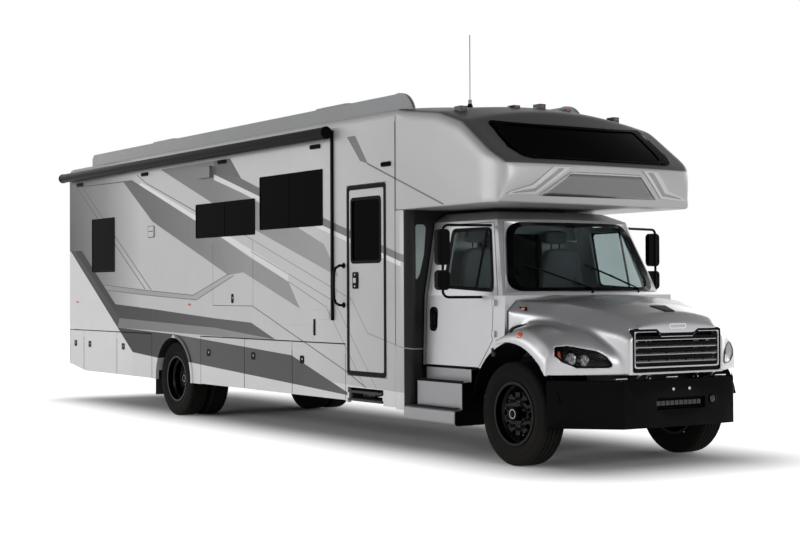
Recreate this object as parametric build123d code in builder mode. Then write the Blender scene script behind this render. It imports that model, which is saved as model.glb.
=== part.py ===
from build123d import *
import os
from math import asin, cos, sin, sqrt

# A motorhome on a two-axle truck chassis: +X forward, +Y to the vehicle's left, +Z up,
# the origin on the ground below the middle of the whole vehicle.

os.makedirs("parts", exist_ok=True)

# Driving sizes of the whole vehicle
overall_length = 12110
wheelbase = 7210
front_axle_x = 4990
rear_axle_x = front_axle_x - wheelbase
coach_half_width = 1282.5
vehicle_front_x = overall_length / 2
vehicle_rear_x = -overall_length / 2
overrun = 60
panel_gap = 8
swing_gap = 16
seat_gap = 0.3
running_gap = 6

# Tyres and wheels
tyre_radius = 490
tyre_width = 255
rim_radius = 285.75
rim_flange = 18
rim_wall = 9
rim_drop = 22
rim_width = 232
front_track = 2025
dual_spacing = 305
rear_track = 1940
hub_radius = 105
drum_radius = 205
drum_wall = 10
spindle_radius = 42
spindle_gap = 0.4
handhole_count = 10
handhole_radius = 27
handhole_circle = 188

# Frame rails
rail_outer_y = 432
rail_height = 260
rail_flange = 80
rail_web = 8
rail_top_z = 980
rail_bottom_z = rail_top_z - rail_height
rail_front_inset = 215
rail_rear_inset = 155
rail_front_x = vehicle_front_x - rail_front_inset
rail_rear_x = vehicle_rear_x + rail_rear_inset
crossmember_height = 110
crossmember_depth = 90

# Axles, springs and steering
beam_depth = 90
beam_height = 95
beam_drop = 50
kingpin_y = 880
kingpin_radius = 24
kingpin_half_height = 165
boss_radius = 48
boss_half_height = 95
ear_thickness = 40
ear_radius = 52
spring_leaf = 15
spring_width = 80
spring_eye = 32
front_spring_length = 1300
rear_spring_length = 1400
front_spring_y = rail_outer_y - rail_flange / 2
rear_spring_y = 540
axle_tube_radius = 72
differential_radius = 205

# Coach body
rear_bumper_reach = 65
coach_rear_x = vehicle_rear_x + rear_bumper_reach
coach_seam_x = 3205
coach_front_x = 3400
wall = 45
skirt_z = 1080
skirt_bottom_z = 460
wall_top_z = 3400
roof_shoulder_z = 3445
roof_edge_z = 3535
roof_crown_z = 3605
roof_edge_inset = 105
floor_top_z = 1100
floor_thickness = 50
front_pillar_bottom_z = 430
arch_top_z = 1030
arch_panel_rear_x = -2922
arch_panel_front_x = -1397
tail_rise = 90

# Overcab cap
cap_floor_z = 2480
cap_nose_z = 2850
cap_front_x = 5062
cap_lip_x = 4880
cap_side_x = 4650
cap_crown_x = 3960
cap_wall = 40
cap_corner = 330
cap_bow = 95

# Cab
cab_rear_x = 3420
cowl_x = 4790
cab_sill_z = 893
cab_tunnel_z = 1000
cab_floor_z = 1050
belt_z = 1600
cab_rail_z = 2350
cab_roof_z = 2440
cab_wall = 50
door_thickness = 44
cab_arch_radius = 690
arch_liner = 40
tunnel_half = 480
door_front_x = 4600
door_rear_x = 3455
door_top_z = 2325
door_hinge_y = 1095
door_hinge_pin = 9
door_hinge_half = 30
door_hinge_z = (1230, 1530)
door_hinge_reach = 50

# Hood
hood_rear_x = cowl_x + 10
bumper_lead = 43
hood_front_x = vehicle_front_x - bumper_lead
hood_wall = 14
hood_gap = 12
fender_opening = 670
fender_outer_y = 1200
hood_hinge_x = 5970
hood_hinge_z = 860
hood_pin_radius = 8
grille_half = 545
grille_low_z = 905
grille_high_z = 1285

# Bumper
bumper_low_z = 395
bumper_high_z = 832
bumper_flat = 680
bumper_end_x = 5540
bumper_end_y = 1175
bumper_wall = 14

SIDES = {"right": -1, "left": 1}
built = []


def finish(builder, name):
    """Label one finished piece and write it as its own file."""
    builder.part.label = name
    export_step(builder.part, f"parts/{name}.step")
    built.append(name)


def block(x_span, y_span, z_span, mode=Mode.ADD):
    """A box between two limits on each axis, in the active part."""
    middle = [(low + high) / 2 for low, high in (x_span, y_span, z_span)]
    size = [abs(high - low) for low, high in (x_span, y_span, z_span)]
    with Locations(tuple(middle)):
        Box(*size, mode=mode)


def side_prism(points, y_start, y_end, mode=Mode.ADD, radius=0, shrink=0):
    """A side outline of (x, z) points, swept from one y to another."""
    with BuildSketch(Plane.XZ.offset(-y_start)) as outline:
        with BuildLine() as edges:
            Polyline(*points, close=True)
        make_face(edges.edges())
        if shrink:
            offset(amount=-shrink, kind=Kind.INTERSECTION, mode=Mode.REPLACE)
        if radius:
            fillet(outline.vertices(), radius)
    extrude(outline.sketch, amount=y_end - y_start, dir=(0, 1, 0), mode=mode)


def front_prism(points, x_start, x_end, mode=Mode.ADD, radius=0, shrink=0):
    """A front outline of (y, z) points, swept from one x to another."""
    with BuildSketch(Plane.YZ.offset(x_start)) as outline:
        with BuildLine() as edges:
            Polyline(*points, close=True)
        make_face(edges.edges())
        if shrink:
            offset(amount=-shrink, kind=Kind.INTERSECTION, mode=Mode.REPLACE)
        if radius:
            fillet(outline.vertices(), radius)
    extrude(outline.sketch, amount=x_end - x_start, dir=(1, 0, 0), mode=mode)


def cross_rod(x, z, radius, y_start, y_end, mode=Mode.ADD):
    """A round bar along Y."""
    with BuildSketch(Plane.XZ.offset(-y_start)) as outline:
        with Locations((x, z)):
            Circle(radius)
    extrude(outline.sketch, amount=y_end - y_start, dir=(0, 1, 0), mode=mode)


def long_rod(y, z, radius, x_start, x_end, mode=Mode.ADD):
    """A round bar along X."""
    with BuildSketch(Plane.YZ.offset(x_start)) as outline:
        with Locations((y, z)):
            Circle(radius)
    extrude(outline.sketch, amount=x_end - x_start, dir=(1, 0, 0), mode=mode)


def upright_rod(x, y, radius, z_start, z_end, mode=Mode.ADD):
    """A round bar along Z."""
    with BuildSketch(Plane.XY.offset(z_start)) as outline:
        with Locations((x, y)):
            Circle(radius)
    extrude(outline.sketch, amount=z_end - z_start, dir=(0, 0, 1), mode=mode)


def window_points(x_span, z_span, grow=0):
    """The four corners of an upright opening, grown on every side."""
    x_low, x_high = x_span
    z_low, z_high = z_span
    return [
        (x_low - grow, z_low - grow),
        (x_high + grow, z_low - grow),
        (x_high + grow, z_high + grow),
        (x_low - grow, z_high + grow),
    ]


# Wheels: a profile in (distance outboard, radius), turned about the axle
def axle_plane(x, y, side):
    """A plane through the axle: its first axis outboard, its second up."""
    return Plane(origin=(x, y, tyre_radius), x_dir=(0, side, 0), z_dir=(side, 0, 0))


def turned(plane, points, arcs, mode=Mode.ADD):
    """Turn a closed outline about the plane's first axis; arcs hold a middle point or None."""
    with BuildSketch(plane) as outline:
        with BuildLine() as edges:
            for here, there, bend in zip(points, points[1:] + points[:1], arcs):
                if bend:
                    ThreePointArc(here, bend, there)
                else:
                    Line(here, there)
        make_face(edges.edges())
    revolve(outline.sketch, axis=Axis(plane.origin, plane.x_dir), mode=mode)


tyre_bead_half = rim_width / 2 - rim_wall - seat_gap
tyre_tread_half = 0.37 * tyre_width
tyre_half = tyre_width / 2
tyre_bead_radius = rim_radius + seat_gap
tyre_bead_top = rim_radius + rim_flange + seat_gap
tyre_wall_radius = rim_radius + 0.48 * (tyre_radius - rim_radius)
tyre_shoulder_drop = 12
tyre_shoulder_radius = tyre_radius - tyre_shoulder_drop
tyre_shoulder_half = tyre_half - 9
tyre_shoulder_run = tyre_shoulder_half - tyre_tread_half
tyre_shoulder_arc = (tyre_shoulder_run**2 + tyre_shoulder_drop**2) / (2 * tyre_shoulder_drop)
tyre_shoulder_turn = asin(tyre_shoulder_run / tyre_shoulder_arc) / 2


def tyre_ring(x, y, side):
    """One tyre: beads, bulged walls, rounded shoulders and a flat tread."""
    points = [
        (-tyre_bead_half, tyre_bead_top),
        (-tyre_bead_half, tyre_bead_radius),
        (tyre_bead_half, tyre_bead_radius),
        (tyre_bead_half, tyre_bead_top),
        (tyre_shoulder_half, tyre_shoulder_radius),
        (tyre_tread_half, tyre_radius),
        (-tyre_tread_half, tyre_radius),
        (-tyre_shoulder_half, tyre_shoulder_radius),
    ]
    shoulder_middle = tyre_tread_half + tyre_shoulder_arc * sin(tyre_shoulder_turn)
    shoulder_rise = tyre_radius - tyre_shoulder_arc * (1 - cos(tyre_shoulder_turn))
    arcs = [
        None,
        None,
        None,
        (tyre_half, tyre_wall_radius),
        (shoulder_middle, shoulder_rise),
        None,
        (-shoulder_middle, shoulder_rise),
        (-tyre_half, tyre_wall_radius),
    ]
    turned(axle_plane(x, y, side), points, arcs)


def rim_barrel(x, y, side):
    """A rim: a flange at each end and a dropped centre between the bead seats."""
    half = rim_width / 2
    seat = rim_radius
    drop = rim_radius - rim_drop
    points = [
        (-half, seat + rim_flange),
        (-half + rim_wall, seat + rim_flange),
        (-half + rim_wall, seat),
        (-0.25 * half, seat),
        (-0.1 * half, drop),
        (0.2 * half, drop),
        (0.35 * half, seat),
        (half - rim_wall, seat),
        (half - rim_wall, seat + rim_flange),
        (half, seat + rim_flange),
        (half, seat - rim_wall),
        (0.38 * half, seat - rim_wall),
        (0.2 * half, drop - rim_wall),
        (-0.1 * half, drop - rim_wall),
        (-0.25 * half, seat - rim_wall),
        (-half, seat - rim_wall),
    ]
    turned(axle_plane(x, y, side), points, [None] * len(points))


def disc_with_handholes(x, y, side, rim_place, hub_place, thickness):
    """A wheel disc from the rim to the bolting face, with a ring of round hand holes."""
    in_drop = abs(rim_place) < 0.1 * rim_width
    outer = rim_radius - rim_wall / 2 - (rim_drop if in_drop else 0)
    middle = 0.78 * outer
    plane = axle_plane(x, y, side)
    points = [
        (rim_place, outer),
        (hub_place, middle),
        (hub_place, hub_radius - overrun / 4),
        (hub_place + thickness, hub_radius - overrun / 4),
        (hub_place + thickness, middle),
        (rim_place + thickness, outer),
    ]
    turned(plane, points, [None] * len(points))
    across = Plane(origin=(x, y + side * (hub_place - overrun), tyre_radius),
                   x_dir=(1, 0, 0), z_dir=(0, side, 0))
    with BuildSketch(across) as holes:
        with PolarLocations(handhole_circle, handhole_count):
            Circle(handhole_radius)
    extrude(holes.sketch, amount=2 * overrun + thickness, dir=(0, side, 0), mode=Mode.SUBTRACT)


disc_thickness = 12
front_tyre_y = front_track / 2
rear_mid_y = rear_track / 2
inner_dual_y = rear_mid_y - dual_spacing / 2
outer_dual_y = rear_mid_y + dual_spacing / 2
front_disc_face = 52
front_hub_nose = 118
drum_inner_y = 908
rear_drum_inner_y = 760
hub_bore = spindle_radius + spindle_gap
hub_inner_y = 1000
rear_hub_inner_y = 840

for side_name, side in SIDES.items():
    with BuildPart() as front_tyre:
        tyre_ring(front_axle_x, side * front_tyre_y, side)
    finish(front_tyre, f"front_tyre_{side_name}")

    with BuildPart() as front_wheel:
        rim_barrel(front_axle_x, side * front_tyre_y, side)
        disc_with_handholes(front_axle_x, side * front_tyre_y, side,
                            0, front_disc_face, disc_thickness)
        # Hub with its nose, and the brake drum behind the disc
        hub_back = hub_inner_y - front_tyre_y
        drum_back = drum_inner_y - front_tyre_y
        nose_radius = 0.62 * hub_radius
        hub_profile = [
            (hub_back, hub_bore),
            (hub_back, hub_radius),
            (-drum_wall, hub_radius),
            (-drum_wall, drum_radius - drum_wall),
            (drum_back, drum_radius - drum_wall),
            (drum_back, drum_radius),
            (0, drum_radius),
            (0, hub_radius),
            (front_disc_face + 2 * disc_thickness, hub_radius),
            (front_disc_face + 2 * disc_thickness, nose_radius),
            (front_hub_nose, 0.9 * nose_radius),
            (front_hub_nose, 0),
            (front_hub_nose - disc_thickness, 0),
            (front_hub_nose - disc_thickness, hub_bore),
        ]
        plane = axle_plane(front_axle_x, side * front_tyre_y, side)
        turned(plane, hub_profile, [None] * len(hub_profile))
    finish(front_wheel, f"front_wheel_{side_name}")

    # Rear pair: two rims, two discs back to back and one hub, with the drum inboard
    with BuildPart() as rear_tyres:
        for place in (inner_dual_y, outer_dual_y):
            tyre_ring(rear_axle_x, side * place, side)
    finish(rear_tyres, f"rear_tyres_{side_name}")

    with BuildPart() as rear_wheels:
        for place, face in ((inner_dual_y, 1), (outer_dual_y, -1)):
            rim_barrel(rear_axle_x, side * place, side)
            to_middle = rear_mid_y - place
            hub_face = to_middle - disc_thickness if face > 0 else to_middle
            rim_face = 0.45 * to_middle
            disc_with_handholes(rear_axle_x, side * place, side, rim_face, hub_face, disc_thickness)
        hub_back = rear_hub_inner_y - rear_mid_y
        drum_back = rear_drum_inner_y - rear_mid_y
        nose_face = 0.5 * dual_spacing
        hub_profile = [
            (hub_back, hub_bore),
            (hub_back, hub_radius),
            (-2 * drum_wall, hub_radius),
            (-2 * drum_wall, drum_radius - drum_wall),
            (drum_back, drum_radius - drum_wall),
            (drum_back, drum_radius),
            (-drum_wall, drum_radius),
            (-drum_wall, hub_radius),
            (nose_face, 0.9 * hub_radius),
            (nose_face, 0),
            (nose_face - disc_thickness, 0),
            (nose_face - disc_thickness, hub_bore),
        ]
        plane = axle_plane(rear_axle_x, side * rear_mid_y, side)
        turned(plane, hub_profile, [None] * len(hub_profile))
    finish(rear_wheels, f"rear_wheels_{side_name}")

    # Knuckle: two ears round the king pin, a web outboard of the axle's boss, the spindle
    with BuildPart() as knuckle:
        pin_y = side * kingpin_y
        web_inner = side * (kingpin_y + boss_radius + 2 * running_gap)
        web_outer = side * (hub_inner_y - running_gap)
        ear_low = boss_half_height + running_gap
        for end in (-1, 1):
            z_near = tyre_radius + end * ear_low
            z_far = tyre_radius + end * (ear_low + ear_thickness)
            upright_rod(front_axle_x, pin_y, ear_radius, z_near, z_far)
            block((front_axle_x - 0.8 * ear_radius, front_axle_x + 0.8 * ear_radius),
                  (pin_y, web_outer), (z_near, z_far))
        block((front_axle_x - ear_radius, front_axle_x + ear_radius), (web_inner, web_outer),
              (tyre_radius - ear_low - ear_thickness, tyre_radius + ear_low + ear_thickness))
        cross_rod(front_axle_x, tyre_radius, spindle_radius, web_inner,
                  side * (front_tyre_y + front_hub_nose - disc_thickness - running_gap))
        upright_rod(front_axle_x, pin_y, kingpin_radius + spindle_gap,
                    tyre_radius - kingpin_half_height - overrun,
                    tyre_radius + kingpin_half_height + overrun, mode=Mode.SUBTRACT)
    finish(knuckle, f"knuckle_{side_name}")

# Front axle: a dropped beam with spring pads and a boss and king pin at each end
with BuildPart() as front_axle:
    beam_low = tyre_radius - beam_height / 2 - beam_drop
    beam_high = beam_low + beam_height
    rise_y = front_spring_y + spring_width
    beam_points = [
        (-kingpin_y, beam_low + beam_drop),
        (-rise_y, beam_low),
        (rise_y, beam_low),
        (kingpin_y, beam_low + beam_drop),
        (kingpin_y, beam_high + beam_drop),
        (rise_y, beam_high),
        (-rise_y, beam_high),
        (-kingpin_y, beam_high + beam_drop),
    ]
    front_prism(beam_points, front_axle_x - beam_depth / 2, front_axle_x + beam_depth / 2)
    for side in SIDES.values():
        upright_rod(front_axle_x, side * kingpin_y, boss_radius,
                    tyre_radius - boss_half_height, tyre_radius + boss_half_height)
        upright_rod(front_axle_x, side * kingpin_y, kingpin_radius,
                    tyre_radius - kingpin_half_height, tyre_radius + kingpin_half_height)
finish(front_axle, "front_axle")

# Rear axle: a tube with the round differential case, and a spindle at each end
rear_pad_top = tyre_radius + axle_tube_radius + 12
with BuildPart() as rear_axle:
    tube_half = rear_drum_inner_y - 2 * running_gap
    cross_rod(rear_axle_x, tyre_radius, axle_tube_radius, -tube_half, tube_half)
    spindle_half = rear_mid_y + 0.5 * dual_spacing - disc_thickness - running_gap
    cross_rod(rear_axle_x, tyre_radius, spindle_radius, -spindle_half, spindle_half)
    with Locations((rear_axle_x, 0, tyre_radius)):
        Sphere(differential_radius)
    pinion_x = rear_axle_x + differential_radius + 0.6 * axle_tube_radius
    long_rod(0, tyre_radius, axle_tube_radius, rear_axle_x, pinion_x)
    for side in SIDES.values():
        block((rear_axle_x - axle_tube_radius, rear_axle_x + axle_tube_radius),
              (side * (rear_spring_y - spring_width / 2), side * (rear_spring_y + spring_width / 2)),
              (tyre_radius, rear_pad_top))
finish(rear_axle, "rear_axle")

# Leaf springs: each leaf a shallow arc band, the longest one with rolled eyes
leaf_length_shares = (1.0, 0.8, 0.58, 0.36)
front_eye_z = rail_bottom_z - spring_eye - seat_gap
rear_eye_z = rail_bottom_z - spring_eye - seat_gap
front_pad_top = beam_high


def leaf_pack(x, y, length, eye_z, seat_z):
    """A stack of leaves that sags from its eyes to its seat on the axle."""
    leaves = len(leaf_length_shares)
    top_z = seat_z + leaves * spring_leaf
    drop = eye_z - spring_eye - top_z + spring_leaf
    bend = (length**2 / 4 + drop**2) / (2 * drop)
    centre_z = top_z + bend
    for number, share in enumerate(leaf_length_shares):
        inner = bend + number * spring_leaf
        outer = inner + spring_leaf
        half_turn = asin(share * length / 2 / inner)
        ends = []
        for reach in (inner, outer):
            for turn in (-half_turn, 0, half_turn):
                ends.append((x + reach * sin(turn), centre_z - reach * cos(turn)))
        with BuildSketch(Plane.XZ.offset(-(y - spring_width / 2))) as leaf:
            with BuildLine() as edges:
                ThreePointArc(ends[0], ends[1], ends[2])
                Line(ends[2], ends[5])
                ThreePointArc(ends[5], ends[4], ends[3])
                Line(ends[3], ends[0])
            make_face(edges.edges())
        extrude(leaf.sketch, amount=spring_width, dir=(0, 1, 0))
    for end in (-1, 1):
        cross_rod(x + end * length / 2, eye_z, spring_eye,
                  y - spring_width / 2, y + spring_width / 2)


with BuildPart() as leaf_springs:
    for side in SIDES.values():
        leaf_pack(front_axle_x, side * front_spring_y, front_spring_length,
                  front_eye_z, front_pad_top)
        leaf_pack(rear_axle_x, side * rear_spring_y, rear_spring_length,
                  rear_eye_z, rear_pad_top)
finish(leaf_springs, "leaf_springs")

# Frame: two channel rails, crossmembers, spring hangers and the hood's hinge arms
crossmember_shares = (0.006, 0.13, 0.25, 0.37, 0.5, 0.63, 0.75, 0.83)
rail_inner_y = rail_outer_y - rail_web
rail_length = rail_front_x - rail_rear_x
hanger_length = 2.6 * spring_eye
hinge_arm_wall = 16
hinge_arm_end = 18
engine_half = 300
engine_mount_x = (5000, 5090)
engine_mount_z = (800, 880)
with BuildPart() as frame_rails:
    for side in SIDES.values():
        channel = [
            (side * rail_outer_y, rail_bottom_z),
            (side * (rail_outer_y - rail_flange), rail_bottom_z),
            (side * (rail_outer_y - rail_flange), rail_bottom_z + rail_web),
            (side * rail_inner_y, rail_bottom_z + rail_web),
            (side * rail_inner_y, rail_top_z - rail_web),
            (side * (rail_outer_y - rail_flange), rail_top_z - rail_web),
            (side * (rail_outer_y - rail_flange), rail_top_z),
            (side * rail_outer_y, rail_top_z),
        ]
        front_prism(channel, rail_rear_x, rail_front_x)
        # Spring hangers with a saddle over each eye
        for axle_x, y, length, eye_z in (
            (front_axle_x, front_spring_y, front_spring_length, front_eye_z),
            (rear_axle_x, rear_spring_y, rear_spring_length, rear_eye_z),
        ):
            inner = min(y - spring_width / 2, rail_outer_y - rail_flange / 2)
            for end in (-1, 1):
                eye_x = axle_x + end * length / 2
                block((eye_x - hanger_length / 2, eye_x + hanger_length / 2),
                      (side * inner, side * (y + spring_width / 2)),
                      (eye_z, rail_bottom_z + 3 * rail_web))
                cross_rod(eye_x, eye_z, spring_eye + seat_gap, side * (inner - overrun),
                          side * (y + spring_width / 2 + overrun), mode=Mode.SUBTRACT)
        # Hinge arm on the rail's web that carries the hood's pin above the bumper
        arm_inner = side * rail_outer_y
        arm_outer = side * (rail_outer_y + hinge_arm_wall)
        arm_points = [
            (rail_front_x - rail_height, rail_bottom_z + rail_height / 3),
            (rail_front_x, rail_bottom_z + rail_height / 3),
            (hood_hinge_x, hood_hinge_z - hinge_arm_end),
            (hood_hinge_x, hood_hinge_z + hinge_arm_end),
            (rail_front_x - rail_height, hood_hinge_z + hinge_arm_end),
        ]
        side_prism(arm_points, arm_inner, arm_outer)
        cross_rod(hood_hinge_x, hood_hinge_z, hinge_arm_end, arm_inner, arm_outer)
        cross_rod(hood_hinge_x, hood_hinge_z, hood_pin_radius, arm_inner,
                  side * (rail_outer_y + 3 * hinge_arm_wall))
        # Engine mount between the engine's side and the rail's web
        block(engine_mount_x, (side * engine_half, side * rail_inner_y), engine_mount_z)
    for share in crossmember_shares:
        x = rail_rear_x + share * rail_length
        block((x - crossmember_depth / 2, x + crossmember_depth / 2),
              (-rail_inner_y, rail_inner_y), (rail_top_z - 2 * rail_web - crossmember_height,
                                              rail_top_z - 2 * rail_web))
finish(frame_rails, "frame_rails")

# Engine: one plain block with the gearbox behind it, and the shaft to the rear axle
engine_front_x = 5620
engine_rear_x = 4830
engine_low_z = 640
engine_high_z = 1390
gearbox_rear_x = 4050
gearbox_half = 210
gearbox_low_z = 600
gearbox_high_z = 950
shaft_radius = 45
shaft_front_z = 740
with BuildPart() as engine:
    block((engine_rear_x, engine_front_x), (-engine_half, engine_half),
          (engine_low_z, engine_high_z))
    block((gearbox_rear_x, engine_rear_x), (-gearbox_half, gearbox_half),
          (gearbox_low_z, gearbox_high_z))
finish(engine, "engine")

shaft_run = gearbox_rear_x - pinion_x
shaft_drop = shaft_front_z - tyre_radius
shaft_length = sqrt(shaft_run**2 + shaft_drop**2)
with BuildPart() as drive_shaft:
    shaft_plane = Plane(origin=(pinion_x + seat_gap, 0, tyre_radius), x_dir=(0, 1, 0),
                        z_dir=(shaft_run, 0, shaft_drop))
    with BuildSketch(shaft_plane) as tube:
        Circle(shaft_radius)
    extrude(tube.sketch, amount=shaft_length - 2 * seat_gap, dir=shaft_plane.z_dir)
    # Centre bearing hung from a crossmember
    bearing_x = rail_rear_x + crossmember_shares[4] * rail_length
    bearing_z = tyre_radius + shaft_drop * (bearing_x - pinion_x) / shaft_run
    long_rod(0, bearing_z, 1.9 * shaft_radius, bearing_x - shaft_radius, bearing_x + shaft_radius)
    block((bearing_x - shaft_radius, bearing_x + shaft_radius),
          (-1.5 * shaft_radius, 1.5 * shaft_radius),
          (bearing_z, rail_top_z - 2 * rail_web - crossmember_height))
    # Trimmed square with the differential's nose and the gearbox
    block((pinion_x - 2 * overrun, pinion_x), (-2 * overrun, 2 * overrun),
          (tyre_radius - 2 * overrun, tyre_radius + 2 * overrun), mode=Mode.SUBTRACT)
    block((gearbox_rear_x, gearbox_rear_x + 2 * overrun), (-2 * overrun, 2 * overrun),
          (shaft_front_z - 2 * overrun, shaft_front_z + 2 * overrun), mode=Mode.SUBTRACT)
finish(drive_shaft, "drive_shaft")

# Radiator between the rail tips, standing on a tray between the rails
radiator_x = (5700, 5780)
radiator_half = rail_outer_y - rail_flange - 12
radiator_low_z = 760
radiator_high_z = 1320
fin_count = 9
with BuildPart() as radiator:
    block(radiator_x, (-radiator_half, radiator_half), (radiator_low_z, radiator_high_z))
    block((radiator_x[0], radiator_x[1]), (-rail_inner_y, rail_inner_y),
          (rail_bottom_z + rail_web, radiator_low_z))
    fin_pitch = (radiator_high_z - radiator_low_z) / (fin_count + 1)
    for number in range(fin_count):
        fin_z = radiator_low_z + (number + 1) * fin_pitch
        block((radiator_x[1], radiator_x[1] + 0.3 * fin_pitch),
              (-radiator_half, radiator_half), (fin_z, fin_z + 0.3 * fin_pitch))
finish(radiator, "radiator")

# Fuel tank on the left rail and the exhaust muffler with its tail pipe on the right
tank_radius = 270
tank_x = (2300, 3150)
tank_y = rail_outer_y + 45 + tank_radius
tank_z = 700
strap_width = 60
muffler_radius = 110
muffler_x = (-900, 200)
muffler_z = 600
pipe_radius = 45
exhaust_y = -330
with BuildPart() as tank_and_exhaust:
    long_rod(tank_y, tank_z, tank_radius, *tank_x)
    for strap_x in (tank_x[0] + 2 * strap_width, tank_x[1] - 3 * strap_width):
        block((strap_x, strap_x + strap_width), (rail_outer_y, tank_y),
              (rail_bottom_z + rail_web, rail_top_z - rail_web))
    long_rod(exhaust_y, muffler_z, muffler_radius, *muffler_x)
    long_rod(exhaust_y, muffler_z, pipe_radius, muffler_x[1], tank_x[1])
    tail_turn_x = -3300
    long_rod(exhaust_y, muffler_z, pipe_radius, -1500, muffler_x[0])
    for hanger_x in (muffler_x[0] + strap_width, muffler_x[1] - strap_width, tank_x[0]):
        block((hanger_x - strap_width / 2, hanger_x + strap_width / 2),
              (exhaust_y - 1.5 * strap_width, exhaust_y - strap_width / 2),
              (muffler_z, rail_bottom_z))
finish(tank_and_exhaust, "tank_and_exhaust")

# Front bumper: a bent plate with swept ends, brackets to the rails and a recess for the lamps
bumper_bow = 12
bumper_turn_x = vehicle_front_x - bumper_bow
lamp_recess_half = 300
lamp_recess_z = (560, 660)


def bumper_plan(inset):
    """The bumper's outline from above: a bowed middle and two swept ends."""
    with BuildSketch(Plane.XY.offset(bumper_low_z), mode=Mode.PRIVATE) as plan:
        with BuildLine() as edges:
            ThreePointArc((bumper_turn_x - inset, -bumper_flat), (vehicle_front_x - inset, 0),
                          (bumper_turn_x - inset, bumper_flat))
            Line((bumper_turn_x - inset, bumper_flat), (bumper_end_x, bumper_end_y - inset))
            Line((bumper_end_x, bumper_end_y - inset), (bumper_end_x, inset - bumper_end_y))
            Line((bumper_end_x, inset - bumper_end_y), (bumper_turn_x - inset, -bumper_flat))
        make_face(edges.edges())
    return plan.sketch


with BuildPart() as front_bumper:
    extrude(bumper_plan(0), amount=bumper_high_z - bumper_low_z, dir=(0, 0, 1))
    extrude(bumper_plan(bumper_wall), amount=bumper_high_z - bumper_low_z, dir=(0, 0, 1),
            mode=Mode.SUBTRACT)
    block((bumper_end_x, bumper_end_x + overrun), (-bumper_end_y + 2 * overrun,
          bumper_end_y - 2 * overrun), (bumper_low_z, bumper_high_z), mode=Mode.SUBTRACT)
    for side in SIDES.values():
        block((rail_front_x, vehicle_front_x - bumper_wall),
              (side * (rail_outer_y - rail_flange), side * rail_outer_y),
              (rail_bottom_z - overrun, rail_bottom_z + overrun))
    block((bumper_turn_x - bumper_wall - overrun, vehicle_front_x - bumper_wall),
          (-lamp_recess_half - overrun, lamp_recess_half + overrun),
          (lamp_recess_z[0] - overrun / 2, lamp_recess_z[1] + overrun / 2))
    block((bumper_turn_x - bumper_wall - overrun / 2, vehicle_front_x + overrun),
          (-lamp_recess_half, lamp_recess_half), lamp_recess_z, mode=Mode.SUBTRACT)
finish(front_bumper, "front_bumper")

# Cab: a hollow body with a lofted lower part, greenhouse and roof
cab_half_sill = 1085
cab_half_belt = 1065
cab_half_rail = 930
cab_half_roof = 780
pillar_belt = (4670, 1005)
pillar_rail = (4365, 835)
pillar_roof = (4160, 690)
nose_belt_x = 4885
nose_rail_x = 4530
nose_roof_x = 4270


def plan_face(z, rear_x, half_rear, pillar, nose_x, inset):
    """A cab section from above: straight sides that lean in and a bowed front."""
    pillar_x, pillar_y = pillar
    with BuildSketch(Plane.XY.offset(z), mode=Mode.PRIVATE) as plan:
        with BuildLine() as edges:
            Line((rear_x + inset, half_rear - inset), (rear_x + inset, inset - half_rear))
            Line((rear_x + inset, inset - half_rear), (pillar_x - inset, inset - pillar_y))
            ThreePointArc((pillar_x - inset, inset - pillar_y), (nose_x - inset, 0),
                          (pillar_x - inset, pillar_y - inset))
            Line((pillar_x - inset, pillar_y - inset), (rear_x + inset, half_rear - inset))
        make_face(edges.edges())
    return plan.sketch


def cab_solid(inset, low_z, rail_z, roof_z):
    """The cab's outer form, or the same form drawn in by an inset."""
    with BuildPart(mode=Mode.PRIVATE) as body:
        with BuildSketch(Plane.XY.offset(low_z)) as sill:
            with Locations(((cab_rear_x + cowl_x) / 2, 0)):
                Rectangle(cowl_x - cab_rear_x - 2 * inset, 2 * (cab_half_sill - inset))
        with BuildSketch(Plane.XY.offset(belt_z)) as belt:
            with Locations(((cab_rear_x + cowl_x) / 2, 0)):
                Rectangle(cowl_x - cab_rear_x - 2 * inset, 2 * (cab_half_belt - inset))
        loft([sill.sketch, belt.sketch], ruled=True)
        belt_face = plan_face(belt_z, cab_rear_x, cab_half_belt, pillar_belt, nose_belt_x, inset)
        rail_face = plan_face(rail_z, cab_rear_x, cab_half_rail, pillar_rail, nose_rail_x, inset)
        roof_face = plan_face(roof_z, cab_rear_x, cab_half_roof, pillar_roof, nose_roof_x, inset)
        loft([belt_face, rail_face], ruled=True)
        loft([rail_face, roof_face], ruled=True)
    return body.part


cab_outer = cab_solid(0, cab_sill_z, cab_rail_z, cab_roof_z)
cab_inner = cab_solid(cab_wall, cab_floor_z, cab_rail_z - cab_wall / 2, cab_roof_z - cab_wall)
cab_panel_inner = cab_solid(door_thickness, cab_sill_z - overrun, cab_rail_z, cab_roof_z)
glass_depth = 12
glass_thickness = 6
cab_glass_outer = cab_solid(glass_depth, cab_sill_z, cab_rail_z, cab_roof_z)
cab_glass_inner = cab_solid(glass_depth + glass_thickness, cab_sill_z - overrun,
                            cab_rail_z, cab_roof_z + overrun)

# The door's outline from the side, cut by the wheel arch at its front lower corner
door_points = [
    (door_rear_x, cab_sill_z),
    (front_axle_x - sqrt((cab_arch_radius + arch_liner)**2 - (cab_sill_z - tyre_radius)**2),
     cab_sill_z),
    (door_front_x - 70, 1075),
    (door_front_x, 1165),
    (door_front_x, 1600),
    (4330, door_top_z),
    (door_rear_x + 130, door_top_z),
    (door_rear_x, door_top_z - 150),
]
side_window_points = [
    (3735, 1690),
    (4490, 1650),
    (4475, 1735),
    (4290, 2262),
    (3735, 2262),
]
quarter_bar_x = 3845


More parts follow.
